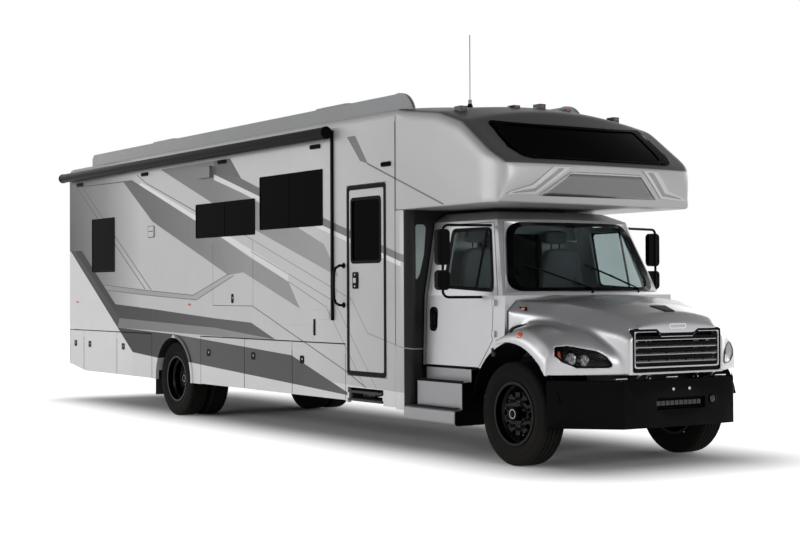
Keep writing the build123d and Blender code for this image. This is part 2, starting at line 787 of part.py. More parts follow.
door_upper_points = [
    (door_rear_x, belt_z - overrun),
    (door_front_x, belt_z - overrun),
] + door_points[4:]
windshield_points = [(-950, 1645), (950, 1645), (765, 2315), (-765, 2315)]
window_radius = 40
passage_half = 430
passage_z = (cab_floor_z, 2250)

with BuildPart() as cab_cavity:
    add(cab_inner)
    for side in SIDES.values():
        cross_rod(front_axle_x, tyre_radius, cab_arch_radius + arch_liner,
                  side * (tunnel_half - arch_liner), side * (cab_half_sill + overrun),
                  mode=Mode.SUBTRACT)

with BuildPart() as cab_shell:
    add(cab_outer)
    add(cab_cavity.part, mode=Mode.SUBTRACT)
    # Tunnel over the rails and the hollow between the sills
    block((cab_rear_x - overrun, cowl_x + overrun), (-tunnel_half, tunnel_half),
          (cab_sill_z - overrun, cab_tunnel_z), mode=Mode.SUBTRACT)
    for side in SIDES.values():
        block((cab_rear_x + cab_wall, cowl_x + overrun),
              (side * tunnel_half, side * (cab_half_belt - cab_wall)),
              (cab_sill_z - overrun, cab_tunnel_z), mode=Mode.SUBTRACT)
        cross_rod(front_axle_x, tyre_radius, cab_arch_radius, side * tunnel_half,
                  side * (cab_half_sill + overrun), mode=Mode.SUBTRACT)
        side_prism(door_points, side * (cab_half_belt - cab_wall - overrun / 2),
                   side * (cab_half_sill + overrun), mode=Mode.SUBTRACT)
        side_prism(door_upper_points, side * (cab_half_rail - 3 * cab_wall),
                   side * (cab_half_sill + overrun), mode=Mode.SUBTRACT)
    front_prism(windshield_points, pillar_roof[0], cowl_x + 4 * overrun,
                mode=Mode.SUBTRACT, radius=window_radius)
    block((cab_rear_x - overrun, cab_rear_x + cab_wall + overrun),
          (-passage_half, passage_half), passage_z, mode=Mode.SUBTRACT)
    for side in SIDES.values():
        for z in door_hinge_z:
            upright_rod(door_front_x, side * door_hinge_y, door_hinge_pin,
                        z - door_hinge_half, z + door_hinge_half)
            block((door_front_x, door_front_x + door_hinge_reach),
                  (side * (cab_half_belt - cab_wall / 3), side * door_hinge_y),
                  (z - door_hinge_half, z + door_hinge_half))
finish(cab_shell, "cab_shell")

with BuildPart() as windshield:
    add(cab_glass_outer)
    front_prism(windshield_points, pillar_roof[0], cowl_x + 4 * overrun,
                mode=Mode.INTERSECT, radius=window_radius)
    add(cab_glass_inner, mode=Mode.SUBTRACT)
finish(windshield, "windshield")

# Cab doors with their panes, and the tube mirrors that ride on them
mirror_post_x = 4215
mirror_post_y = 1388
mirror_tube = 13
mirror_high_z = 2290
mirror_low_z = 1585
mirror_root_high = (4340, 890)
mirror_root_low = (4420, 1040)
mirror_bend = 60
mirror_head_half = 92
mirror_heads = ((1900, 2250), (1655, 1850))
mirror_head_depth = 60
for side_name, side in SIDES.items():
    with BuildPart() as cab_door:
        add(cab_outer)
        side_prism([(x + (swing_gap - panel_gap if x < quarter_bar_x else 0), z)
                    for x, z in door_points],
                   side * cab_half_roof, side * (cab_half_sill + overrun),
                   mode=Mode.INTERSECT, shrink=panel_gap)
        add(cab_panel_inner, mode=Mode.SUBTRACT)
        side_prism(side_window_points, side * cab_half_roof, side * (cab_half_sill + overrun),
                   mode=Mode.SUBTRACT, radius=window_radius)
        for z in door_hinge_z:
            block((door_front_x - door_hinge_reach, door_front_x - door_hinge_pin - seat_gap),
                  (side * (cab_half_belt - door_thickness / 2), side * door_hinge_y),
                  (z - 0.7 * door_hinge_half, z + 0.7 * door_hinge_half))
    finish(cab_door, f"cab_door_{side_name}")

    with BuildPart() as cab_door_glass:
        add(cab_glass_outer)
        side_prism(side_window_points, side * cab_half_roof, side * (cab_half_sill + overrun),
                   mode=Mode.INTERSECT, radius=window_radius)
        add(cab_glass_inner, mode=Mode.SUBTRACT)
    finish(cab_door_glass, f"cab_door_glass_{side_name}")

    with BuildPart() as mirror_arm:
        route = [
            (mirror_root_high[0], side * mirror_root_high[1], mirror_high_z),
            (mirror_post_x, side * mirror_post_y, mirror_high_z),
            (mirror_post_x, side * mirror_post_y, mirror_low_z),
            (mirror_root_low[0], side * mirror_root_low[1], mirror_low_z),
        ]
        with BuildLine() as loop:
            FilletPolyline(*route, radius=mirror_bend)
        start = Plane(origin=route[0], z_dir=Vector(*route[1]) - Vector(*route[0]))
        with BuildSketch(start) as ring:
            Circle(mirror_tube)
        sweep(ring.sketch, path=loop.line)
        for low, high in mirror_heads:
            with BuildSketch(Plane.YZ.offset(mirror_post_x - mirror_head_depth)) as head:
                with Locations((side * (mirror_post_y - mirror_tube), (low + high) / 2)):
                    RectangleRounded(1.6 * mirror_head_half, high - low, 0.5 * mirror_head_half)
            extrude(head.sketch, amount=mirror_head_depth, dir=(1, 0, 0))
        add(cab_outer, mode=Mode.SUBTRACT)
    finish(mirror_arm, f"mirror_{side_name}")

# Hood and fenders in one piece. Nose columns: x, side half width, side z, shoulder half
# width, shoulder z, crown z
nose_sections = (
    (hood_rear_x, 1045, 1450, 925, 1560, 1612),
    (5250, 905, 1400, 760, 1535, 1590),
    (5650, 745, 1300, 610, 1455, 1525),
    (5930, 620, 1230, 510, 1385, 1445),
    (hood_front_x, 582, 1190, 465, 1312, 1338),
)
# Fender columns: y, rear z, middle z, brow x, brow z, front x
fender_sections = (
    (560, 1300, 1350, 5880, 1060, 5985),
    (800, 1290, 1362, 5735, 1225, 5835),
    (1000, 1262, 1345, 5600, 1240, 5692),
    (1150, 1215, 1290, 5500, 1165, 5590),
    (fender_outer_y, 1168, 1196, 5450, 1060, 5552),
)
hood_low_z = 870
fender_middle_x = 5180
fender_chin_z = 950


def nose_face(x, side_half, side_z, shoulder_half, shoulder_z, crown_z, inset, low_z):
    """One cross-section of the hood's middle."""
    with BuildSketch(Plane.YZ.offset(x), mode=Mode.PRIVATE) as section:
        with BuildLine() as edges:
            Line((side_half - inset, low_z), (inset - side_half, low_z))
            Line((inset - side_half, low_z), (inset - side_half, side_z - inset / 2))
            Line((inset - side_half, side_z - inset / 2), (inset - shoulder_half, shoulder_z - inset))
            ThreePointArc((inset - shoulder_half, shoulder_z - inset), (0, crown_z - inset),
                          (shoulder_half - inset, shoulder_z - inset))
            Line((shoulder_half - inset, shoulder_z - inset), (side_half - inset, side_z - inset / 2))
            Line((side_half - inset, side_z - inset / 2), (side_half - inset, low_z))
        make_face(edges.edges())
    return section.sketch


def fender_face(side, y, rear_z, middle_z, brow_x, brow_z, front_x, inset, low_z):
    """One lengthwise section of a fender, at a distance from the middle of the truck."""
    rear_x = hood_rear_x - (overrun if inset else 0)
    corner_x = front_x - inset
    bend = (0.72 * corner_x + 0.28 * brow_x, 0.34 * fender_chin_z + 0.66 * brow_z - inset)
    with BuildSketch(Plane.XZ.offset(-side * y), mode=Mode.PRIVATE) as section:
        with BuildLine() as edges:
            Line((corner_x, low_z), (rear_x, low_z))
            Line((rear_x, low_z), (rear_x, rear_z - inset))
            ThreePointArc((rear_x, rear_z - inset), (fender_middle_x, middle_z - inset),
                          (brow_x - inset / 2, brow_z - inset))
            ThreePointArc((brow_x - inset / 2, brow_z - inset), bend, (corner_x, fender_chin_z))
            Line((corner_x, fender_chin_z), (corner_x, low_z))
        make_face(edges.edges())
    return section.sketch


def hood_solid(inset, low_z):
    """The hood's outer form, or the same form drawn in by a wall."""
    with BuildPart(mode=Mode.PRIVATE) as body:
        faces = []
        for x, *sizes in nose_sections:
            section_x = x - (overrun if inset and x == hood_rear_x else 0)
            section_x = section_x - (inset if x == hood_front_x else 0)
            faces.append(nose_face(section_x, *sizes, inset, low_z))
        loft(faces, ruled=True)
        for side in SIDES.values():
            faces = []
            for y, *sizes in fender_sections:
                section_y = y - (inset if y == fender_outer_y else 0)
                faces.append(fender_face(side, section_y, *sizes, inset, low_z))
            loft(faces, ruled=True)
    return body.part


hood_outer = hood_solid(0, hood_low_z)
hood_inner = hood_solid(hood_wall, hood_low_z - overrun)
grille_points = [
    (-grille_half, grille_low_z),
    (grille_half, grille_low_z),
    (grille_half, grille_high_z),
    (0.46 * grille_half, grille_high_z),
    (0.4 * grille_half, grille_high_z - 45),
    (-0.4 * grille_half, grille_high_z - 45),
    (-0.46 * grille_half, grille_high_z),
    (-grille_half, grille_high_z),
]
lamp_points = [
    (1125, 1056),
    (1103, 1134),
    (1014, 1141),
    (810, 1094),
    (740, 1047),
    (694, 961),
    (735, 945),
    (963, 946),
    (1078, 1001),
]
lamp_start_x = 5400
lug_wall = 16
lug_radius = 20
with BuildPart() as hood:
    add(hood_outer)
    add(hood_inner, mode=Mode.SUBTRACT)
    add(cab_solid(-hood_gap, cab_sill_z - overrun, cab_rail_z, cab_roof_z), mode=Mode.SUBTRACT)
    front_prism(grille_points, hood_front_x - 2 * overrun, hood_front_x + overrun,
                mode=Mode.SUBTRACT)
    for side in SIDES.values():
        cross_rod(front_axle_x, tyre_radius, fender_opening, side * tunnel_half,
                  side * (fender_outer_y + overrun), mode=Mode.SUBTRACT)
        front_prism([(side * y, z) for y, z in lamp_points], lamp_start_x,
                    hood_front_x + overrun, mode=Mode.SUBTRACT)
        # Hinge lug behind the strip below the grille
        lug_inner = side * (rail_outer_y + hinge_arm_wall + running_gap)
        lug_outer = side * (rail_outer_y + hinge_arm_wall + running_gap + lug_wall)
        cross_rod(hood_hinge_x, hood_hinge_z, lug_radius, lug_inner, lug_outer)
        block((hood_hinge_x, hood_front_x - hood_wall / 2), (lug_inner, lug_outer),
              (hood_hinge_z, hood_hinge_z + lug_radius))
        cross_rod(hood_hinge_x, hood_hinge_z, hood_pin_radius + spindle_gap,
                  side * rail_outer_y, side * (rail_outer_y + 6 * hinge_arm_wall),
                  mode=Mode.SUBTRACT)
finish(hood, "hood")

with BuildPart() as headlamps:
    add(hood_outer)
    front_prism([(y, z) for y, z in lamp_points], lamp_start_x, hood_front_x + overrun,
                mode=Mode.INTERSECT)
    add(hood_inner, mode=Mode.SUBTRACT)
    mirror(about=Plane.XZ)
finish(headlamps, "headlamps")

# Grille: a surround with level slats and four uprights behind them
slat_count = 5
slat_height = 26
slat_depth = 16
upright_shares = (-0.62, -0.22, 0.22, 0.62)
upright_width = 10
grille_frame = 16
grille_back_x = hood_front_x - 3 * hood_wall
with BuildPart() as grille:
    front_prism(grille_points, grille_back_x, hood_front_x, shrink=seat_gap)
    front_prism(grille_points, grille_back_x - overrun, hood_front_x + overrun,
                mode=Mode.SUBTRACT, shrink=grille_frame)
    slat_pitch = (grille_high_z - grille_low_z) / (slat_count + 1)
    for number in range(slat_count):
        slat_z = grille_low_z + (number + 1) * slat_pitch - (slat_height / 2)
        slat_z -= slat_height / 3 if number == slat_count - 1 else 0
        block((hood_front_x - hood_wall - slat_depth, hood_front_x - hood_wall / 2),
              (-grille_half + grille_frame / 2, grille_half - grille_frame / 2),
              (slat_z, slat_z + slat_height))
    for share in upright_shares:
        upright_y = share * grille_half
        block((grille_back_x, hood_front_x - hood_wall),
              (upright_y - upright_width / 2, upright_y + upright_width / 2),
              (grille_low_z + grille_frame / 2, grille_high_z - 3 * grille_frame))
finish(grille, "grille")

# Inside the cab: dashboard with the steering column and wheel, and two seats
dash_x = (4400, 4690)
dash_z = (1250, 1520)
driver_y = 520
column_low = (4560, driver_y, 1320)
column_high = (4300, driver_y, 1470)
steering_wheel_radius = 225
steering_rim = 15
with BuildPart() as dashboard:
    dash_points = [
        (dash_x[0] + 60, dash_z[0]),
        (dash_x[1], dash_z[0]),
        (dash_x[1], dash_z[1] + 30),
        (dash_x[0] + 120, dash_z[1] + 30),
        (dash_x[0], dash_z[1] - 60),
    ]
    dash_half = cab_half_belt - cab_wall - running_gap
    side_prism(dash_points, -dash_half, dash_half)
    block((dash_x[1] - overrun, cowl_x - cab_wall), (-0.85 * tunnel_half, 0.85 * tunnel_half),
          (cab_floor_z, dash_z[0] + overrun))
    lean = Vector(*column_high) - Vector(*column_low)
    column_plane = Plane(origin=column_low, x_dir=(0, 1, 0), z_dir=lean)
    with BuildSketch(column_plane) as column:
        Circle(3 * steering_rim)
    extrude(column.sketch, amount=lean.length, dir=column_plane.z_dir)
    wheel_plane = Plane(origin=column_high, x_dir=(0, 1, 0), z_dir=lean)
    with BuildSketch(wheel_plane) as spokes:
        Rectangle(2 * steering_wheel_radius, 3 * steering_rim)
        with Locations((0, -steering_wheel_radius / 2)):
            Rectangle(3 * steering_rim, steering_wheel_radius)
    extrude(spokes.sketch, amount=steering_rim / 2, dir=wheel_plane.z_dir, both=True)
    ring_plane = Plane(origin=column_high, x_dir=(0, 1, 0),
                       z_dir=wheel_plane.y_dir)
    with BuildSketch(ring_plane) as ring:
        with Locations((steering_wheel_radius, 0)):
            Circle(steering_rim)
    revolve(ring.sketch, axis=Axis(column_high, tuple(lean)))
finish(dashboard, "dashboard")

seat_half = 250
seat_x = (3640, 4130)
seat_z = (1380, 1520)
seat_back_top_z = 2120
headrest_z = (2140, 2290)
pedestal_half = 160
seat_lean = 120
with BuildPart() as cab_seats:
    for side in SIDES.values():
        y_low, y_high = side * driver_y - seat_half, side * driver_y + seat_half
        block((seat_x[0] + 2 * overrun, seat_x[1] - 2 * overrun),
              (side * driver_y - pedestal_half, side * driver_y + pedestal_half),
              (cab_floor_z, seat_z[0]))
        with BuildSketch(Plane.XY.offset(seat_z[0])) as cushion:
            with Locations(((seat_x[0] + seat_x[1]) / 2, side * driver_y)):
                RectangleRounded(seat_x[1] - seat_x[0], 2 * seat_half, 70)
        extrude(cushion.sketch, amount=seat_z[1] - seat_z[0], dir=(0, 0, 1))
        back_points = [
            (seat_x[0] - overrun, seat_z[0] + overrun / 2),
            (seat_x[0] + 110, seat_z[0] + overrun / 2),
            (seat_x[0] + 110 - seat_lean, seat_back_top_z),
            (seat_x[0] - seat_lean, seat_back_top_z),
        ]
        side_prism(back_points, y_low, y_high, radius=35)
        head_points = [
            (seat_x[0] - seat_lean + 10, seat_back_top_z - overrun),
            (seat_x[0] - seat_lean + 90, seat_back_top_z - overrun),
            (seat_x[0] - seat_lean + 90, headrest_z[1]),
            (seat_x[0] - seat_lean + 10, headrest_z[1]),
        ]
        side_prism(head_points, side * driver_y - seat_half / 2,
                   side * driver_y + seat_half / 2, radius=20)
finish(cab_seats, "cab_seats")

# Step fairings below the cab doors, one each side, with two treads
fairing_x = (3440, 4230)
fairing_z = (340, 880)
fairing_outer_y = 1250
tread_z = (470, 745)
tread_depth = 210
fairing_wall = 20
with BuildPart() as cab_steps:
    for side in SIDES.values():
        step_points = [
            (side * (rail_outer_y + overrun), cab_sill_z - fairing_wall),
            (side * (cab_half_sill - fairing_wall), cab_sill_z - fairing_wall),
            (side * (cab_half_sill - fairing_wall), tread_z[1]),
            (side * (fairing_outer_y - tread_depth / 3), tread_z[1]),
            (side * (fairing_outer_y - tread_depth / 3), tread_z[0]),
            (side * fairing_outer_y, tread_z[0]),
            (side * fairing_outer_y, fairing_z[0]),
            (side * (fairing_outer_y - 2 * fairing_wall), fairing_z[0] - fairing_wall),
            (side * (fairing_outer_y - tread_depth), fairing_z[0] - fairing_wall),
        ]
        shell_points = [
            (side * (cab_half_sill - 2 * fairing_wall), cab_sill_z + overrun),
            (side * (cab_half_sill - 2 * fairing_wall), tread_z[1] - fairing_wall),
            (side * (fairing_outer_y - tread_depth / 3 - fairing_wall), tread_z[1] - fairing_wall),
            (side * (fairing_outer_y - tread_depth / 3 - fairing_wall), tread_z[0] - fairing_wall),
            (side * (fairing_outer_y - fairing_wall), tread_z[0] - fairing_wall),
            (side * (fairing_outer_y - fairing_wall), fairing_z[0]),
            (side * (fairing_outer_y - tread_depth), fairing_z[0]),
            (side * (rail_outer_y + overrun), fairing_z[0]),
            (side * (rail_outer_y + overrun), cab_sill_z + overrun),
        ]
        front_prism(step_points, fairing_x[0], fairing_x[1])
        front_prism(shell_points, fairing_x[0] + fairing_wall, fairing_x[1] - fairing_wall,
                    mode=Mode.SUBTRACT)
        # Arms from the rail that carry the fairing
        for share in (0.2, 0.8):
            arm_x = fairing_x[0] + share * (fairing_x[1] - fairing_x[0])
            block((arm_x - fairing_wall, arm_x + fairing_wall),
                  (side * rail_outer_y, side * (cab_half_sill - 1.5 * fairing_wall)),
                  (rail_bottom_z + fairing_wall, rail_bottom_z + 3 * fairing_wall))
finish(cab_steps, "cab_steps")

# Sizes that several pieces share: hitch receiver, hinge gaps, entry step, slide-out, runners
receiver_half = 38
receiver_bore_half = 25.8
receiver_length = 260
receiver_z = 490
wire_radius = 2
hatch_gap = 6
entry_gap = 8
step_x = (2275, 2950)
step_z = (468, 580)
step_depth = 330
step_sheet = 25
slide_x = (-1650, 1750)
slide_z = (1165, 3180)
slide_depth = 780
slide_gap = 12
runner_shares = (0.12, 0.5, 0.88)
runner_half = 30
arch_radius = 545
arch_lip = 14
arch_lip_width = 45
housing_sheet = 8
housing_depth = 640

# Coach floor on cross bearers, with the entry's step well
bearer_shares = (0.01, 0.15, 0.29, 0.43, 0.57, 0.71, 0.85, 0.985)
bearer_half = 30
door_frame_x = (2235, 3040)
door_frame_z = (735, 2790)
inner_half = coach_half_width - wall
well_depth = 420
well_floor_z = 700
sheet = 15
front_wall_x = coach_front_x - wall
floor_rear_x = coach_rear_x + wall
floor_front_x = front_wall_x - running_gap
well_x = (door_frame_x[0] + sheet, door_frame_x[1] - sheet)
with BuildPart() as coach_floor:
    block((floor_rear_x, floor_front_x), (-inner_half, inner_half),
          (floor_top_z - floor_thickness, floor_top_z))
    for share in bearer_shares:
        x = floor_rear_x + overrun + share * (floor_front_x - floor_rear_x - 2 * overrun)
        block((x - bearer_half, x + bearer_half), (-inner_half, inner_half),
              (rail_top_z, floor_top_z - floor_thickness))
    well_outer = -inner_half
    well_inner = -inner_half + well_depth
    block((well_x[0], well_x[1]), (well_outer, well_inner), (well_floor_z, floor_top_z))
    block((well_x[0] + sheet, well_x[1] - sheet), (well_outer - overrun, well_inner - sheet),
          (well_floor_z + sheet, floor_top_z + overrun), mode=Mode.SUBTRACT)
    block((well_x[0], well_x[1]), (well_inner - well_depth / 2, well_inner - sheet / 2),
          (well_floor_z, (well_floor_z + floor_top_z) / 2))
    for side in SIDES.values():
        cross_rod(rear_axle_x, tyre_radius, arch_radius + housing_sheet + running_gap,
                  side * (housing_depth - running_gap), side * coach_half_width,
                  mode=Mode.SUBTRACT)
    for share in runner_shares:
        x = slide_x[0] + share * (slide_x[1] - slide_x[0])
        block((x - runner_half, x + runner_half), (coach_half_width - slide_depth, inner_half),
              (floor_top_z - floor_thickness / 2, slide_z[0] + slide_gap - seat_gap))
finish(coach_floor, "coach_floor")

# Coach walls, with the windows and doors cut
right_windows = (
    ((-5070, -4227), (1946, 2712)),
    ((-1516, 100), (2343, 2757)),
    ((244, 1716), (2390, 3000)),
)
left_windows = (
    ((-5070, -4227), (1946, 2712)),
    ((2350, 2950), (2060, 2700)),
)
slide_windows = (((-1150, 150), (2150, 2800)), ((700, 1350), (2150, 2800)))
hatch_x = (-1040, 55)
hatch_z = (1468, 2240)
slide_wall = 40
slide_lip = 40
window_corner = 45


def wall_plate(side, rear_x, front_x, low_z, high_z):
    """One side wall from its outer face inward."""
    block((rear_x, front_x), (side * inner_half, side * coach_half_width), (low_z, high_z))


def wall_hole(side, x_span, z_span, corner=0):
    """An opening right through a side wall."""
    side_prism(window_points(x_span, z_span), side * (inner_half - overrun),
               side * (coach_half_width + overrun), mode=Mode.SUBTRACT, radius=corner)


with BuildPart() as coach_wall_right:
    wall_plate(-1, coach_rear_x, coach_seam_x, skirt_z, wall_top_z)
    wall_plate(-1, door_frame_x[0] - 2 * sheet, coach_seam_x, skirt_bottom_z - sheet, skirt_z)
    for x_span, z_span in right_windows:
        wall_hole(-1, x_span, z_span, window_corner)
    wall_hole(-1, hatch_x, hatch_z)
    wall_hole(-1, door_frame_x, door_frame_z)
    wall_hole(-1, (door_frame_x[0] + sheet, door_frame_x[1] - 5 * sheet),
              (skirt_bottom_z - 2 * sheet, skirt_bottom_z + 10 * sheet))
    # Hinge wires of the hatch and of the entry door, and guides for the entry step
    hatch_wire_z = hatch_z[1] - hatch_gap + seat_gap + wire_radius
    long_rod(-coach_half_width, hatch_wire_z, wire_radius, hatch_x[0] + sheet, hatch_x[1] - sheet)
    block((hatch_x[0] + sheet, hatch_x[1] - sheet),
          (-coach_half_width - wire_radius / 2, -coach_half_width + wire_radius / 2),
          (hatch_wire_z, hatch_z[1] + wire_radius))
    entry_wire_x = door_frame_x[1] - entry_gap + seat_gap + wire_radius
    upright_rod(entry_wire_x, -coach_half_width, wire_radius, door_frame_z[0] + sheet,
                door_frame_z[1] - sheet)
    block((entry_wire_x, door_frame_x[1] + wire_radius),
          (-coach_half_width - wire_radius / 2, -coach_half_width + wire_radius / 2),
          (door_frame_z[0] + sheet, door_frame_z[1] - sheet))
    for x_span in ((door_frame_x[0], step_x[0] - seat_gap),
                   (step_x[1] + seat_gap, door_frame_x[1] - 4 * sheet)):
        block(x_span, (-coach_half_width, -coach_half_width + step_depth),
              (step_z[0] + step_sheet, step_z[1] - step_sheet))
finish(coach_wall_right, "coach_wall_right")

with BuildPart() as coach_wall_left:
    wall_plate(1, coach_rear_x, coach_seam_x, skirt_z, wall_top_z)
    for x_span, z_span in left_windows:
        wall_hole(1, x_span, z_span, window_corner)
    wall_hole(1, slide_x, slide_z)
finish(coach_wall_left, "coach_wall_left")

with BuildPart() as rear_wall:
    block((coach_rear_x, coach_rear_x + wall), (-inner_half, inner_half),
          (skirt_bottom_z + tail_rise, wall_top_z))

# Front wall behind the cab, wrapped round both front corners, open to the cab
front_corner = 130
with BuildPart() as coach_end_walls:
    with BuildSketch(Plane.XY.offset(front_pillar_bottom_z)) as wrap:
        with Locations(((coach_seam_x + coach_front_x) / 2, 0)):
            Rectangle(coach_front_x - coach_seam_x, 2 * coach_half_width)
        fillet(wrap.vertices().group_by(Axis.X)[-1], front_corner)
        with Locations(((coach_seam_x + front_wall_x) / 2, 0)):
            Rectangle(front_wall_x - coach_seam_x, 2 * inner_half, mode=Mode.SUBTRACT)
    extrude(wrap.sketch, amount=cap_floor_z - front_pillar_bottom_z, dir=(0, 0, 1))
    block((front_wall_x - overrun, coach_front_x + overrun),
          (-passage_half, passage_half), passage_z, mode=Mode.SUBTRACT)
    block((coach_seam_x - overrun, coach_front_x + overrun),
          (-cab_half_sill, cab_half_sill),
          (front_pillar_bottom_z - overrun, rail_top_z + overrun / 2), mode=Mode.SUBTRACT)
    add(rear_wall.part)
finish(coach_end_walls, "coach_end_walls")

# Roof: a crowned skin with rounded shoulders
def roof_section(x, inset):
    """The roof's cross-section with rounded shoulders, or drawn in by its thickness."""
    half = coach_half_width - inset
    shoulder_y = coach_half_width - roof_edge_inset
    with BuildSketch(Plane.YZ.offset(x), mode=Mode.PRIVATE) as section:
        with BuildLine() as edges:
            low_z = wall_top_z - (overrun if inset else 0)
            Line((-half, low_z), (half, low_z))
            Line((half, low_z), (half, roof_shoulder_z - inset / 2))
            bend_y = half - 0.3 * roof_edge_inset
            bend_z = roof_shoulder_z - inset + 0.72 * (roof_edge_z - roof_shoulder_z)
            ThreePointArc((half, roof_shoulder_z - inset / 2), (bend_y, bend_z),
                          (shoulder_y - inset, roof_edge_z - inset))
            ThreePointArc((shoulder_y - inset, roof_edge_z - inset), (0, roof_crown_z - inset),
                          (inset - shoulder_y, roof_edge_z - inset))
            ThreePointArc((inset - shoulder_y, roof_edge_z - inset), (-bend_y, bend_z),
                          (-half, roof_shoulder_z - inset / 2))
            Line((-half, roof_shoulder_z - inset / 2), (-half, low_z))
        make_face(edges.edges())
    return section.sketch


with BuildPart() as coach_roof:
    extrude(roof_section(coach_rear_x, 0), amount=coach_seam_x - coach_rear_x, dir=(1, 0, 0))
    extrude(roof_section(coach_rear_x + wall, wall), amount=coach_seam_x - coach_rear_x,
            dir=(1, 0, 0), mode=Mode.SUBTRACT)
finish(coach_roof, "coach_roof")

# Overcab cap. Columns: x, shoulder z, edge half width, edge z, crown z
cap_sections = (
    (coach_seam_x, roof_shoulder_z, coach_half_width - roof_edge_inset, roof_edge_z, roof_crown_z),
    (3960, 3330, 1150, 3440, 3540),
    (4340, 3200, 1130, 3320, 3455),
    (cap_front_x + 10, 2690, 1130, 2800, 2845),
)
cap_window_points = [
    (-928, 2925),
    (928, 2925),
    (1010, 3020),
    (977, 3290),
    (-977, 3290),
    (-1010, 3020),
]


def cap_section(x, shoulder_z, edge_half, edge_z, crown_z, inset):
    """One cross-section of the cap."""
    half = coach_half_width - inset
    low_z = cap_floor_z + inset
    edge_y = edge_half - inset
    bend = ((half + edge_y) / 2 + 0.25 * (half - edge_y), (shoulder_z + edge_z) / 2
            + 0.25 * (edge_z - shoulder_z) - inset)
    with BuildSketch(Plane.YZ.offset(x), mode=Mode.PRIVATE) as section:
        with BuildLine() as edges:
            Line((-half, low_z), (half, low_z))
            Line((half, low_z), (half, shoulder_z - inset / 2))
            ThreePointArc((half, shoulder_z - inset / 2), bend, (edge_y, edge_z - inset))
            ThreePointArc((edge_y, edge_z - inset), (0, crown_z - inset), (-edge_y, edge_z - inset))
            ThreePointArc((-edge_y, edge_z - inset), (-bend[0], bend[1]),
                          (-half, shoulder_z - inset / 2))
            Line((-half, shoulder_z - inset / 2), (-half, low_z))
        make_face(edges.edges())
    return section.sketch


def cap_solid(inset):
    """The cap's outer form, or the same form drawn in by an inset."""
    with BuildPart(mode=Mode.PRIVATE) as body:
        faces = []
        for number, (x, *sizes) in enumerate(cap_sections):
            section_x = x - (overrun if inset and number == 0 else 0)
            faces.append(cap_section(section_x, *sizes, inset))
        loft(faces, ruled=True)
        rear_x = coach_seam_x - 2 * overrun
        side_y = coach_half_width - inset
        corner_y = coach_half_width - cap_corner / 2.5 - inset
        with BuildSketch(Plane.XY.offset(cap_floor_z - overrun)) as plan:
            with BuildLine() as edges:
                corner_x = cap_front_x - cap_bow - inset
                Line((rear_x, side_y), (rear_x, -side_y))
                Line((rear_x, -side_y), (cap_side_x, -side_y))
                ThreePointArc((cap_side_x, -side_y),
                              (cap_side_x + 0.62 * (corner_x - cap_side_x), -side_y
                               + 0.28 * (side_y - corner_y)), (corner_x, -corner_y))
                ThreePointArc((corner_x, -corner_y), (cap_front_x - inset, 0),
                              (corner_x, corner_y))
                ThreePointArc((corner_x, corner_y),
                              (cap_side_x + 0.62 * (corner_x - cap_side_x), side_y
                               - 0.28 * (side_y - corner_y)), (cap_side_x, side_y))
                Line((cap_side_x, side_y), (rear_x, side_y))
            make_face(edges.edges())
        extrude(plan.sketch, amount=roof_crown_z - cap_floor_z + 2 * overrun, dir=(0, 0, 1),
                mode=Mode.INTERSECT)
        undercut = [
            (cap_lip_x - inset, cap_floor_z - overrun),
            (cap_lip_x - inset, cap_floor_z),
            (cap_front_x - inset, cap_nose_z),
            (cap_front_x + 2 * overrun, cap_nose_z),
            (cap_front_x + 2 * overrun, cap_floor_z - overrun),
        ]
        side_prism(undercut, -coach_half_width - overrun, coach_half_width + overrun,
                   mode=Mode.SUBTRACT)
    return body.part


cap_outer = cap_solid(0)
with BuildPart() as coach_cap:
    add(cap_outer)
    add(cap_solid(cap_wall), mode=Mode.SUBTRACT)
    block((coach_seam_x - overrun, front_wall_x), (-inner_half, inner_half),
          (cap_floor_z - overrun, cap_floor_z + cap_wall + overrun), mode=Mode.SUBTRACT)
    front_prism(cap_window_points, cap_crown_x, cap_front_x + overrun, mode=Mode.SUBTRACT)
finish(coach_cap, "coach_cap")

# All the coach's panes: those in the walls and the wrapped one in the cap
pane_thickness = 12
with BuildPart() as cap_pane:
    add(cap_outer)
    front_prism(cap_window_points, cap_crown_x, cap_front_x + overrun, mode=Mode.INTERSECT)
    add(cap_solid(pane_thickness), mode=Mode.SUBTRACT)
with BuildPart() as coach_windows:
    add(cap_pane.part)
    for side, panes in ((-1, right_windows), (1, left_windows)):
        for x_span, z_span in panes:
            side_prism(window_points(x_span, z_span), side * (coach_half_width - pane_thickness),
                       side * coach_half_width, radius=window_corner)
finish(coach_windows, "coach_windows")

# Skirts: the arch panels with their wheel housings, corner posts and fixed left panels
skirt_wall = 30
skirt_inner = coach_half_width - skirt_wall
skirt_top_z = skirt_z - panel_gap
right_doors = (
    (-5970, -5411),
    (-5411, -4147),
    (-4147, -2922),
    (-1397, -180),
    (-180, 1013),
    (1013, 2205),
)
left_doors = ((-4147, -2922), (-1397, 404), (404, 2205))
left_fixed = ((coach_rear_x, -4147), (2205, coach_seam_x))
tail_turn_x = -5360


def tail_low(x):
    """The bottom edge of the skirt, which rises behind the last baggage door."""
    behind = max(0, tail_turn_x - x)
    return skirt_bottom_z + tail_rise * behind / (tail_turn_x - coach_rear_x)


def skirt_plate(side, rear_x, front_x, high_z, inner_y, outer_y, mode=Mode.ADD, shrink=0):
    """One skirt panel whose bottom follows the rising tail."""
    points = [(rear_x, tail_low(rear_x))]
    if rear_x < tail_turn_x < front_x:
        points.append((tail_turn_x, skirt_bottom_z))
    points += [(front_x, tail_low(front_x)), (front_x, high_z), (rear_x, high_z)]
    side_prism(points, side * inner_y, side * outer_y, mode=mode, shrink=shrink)


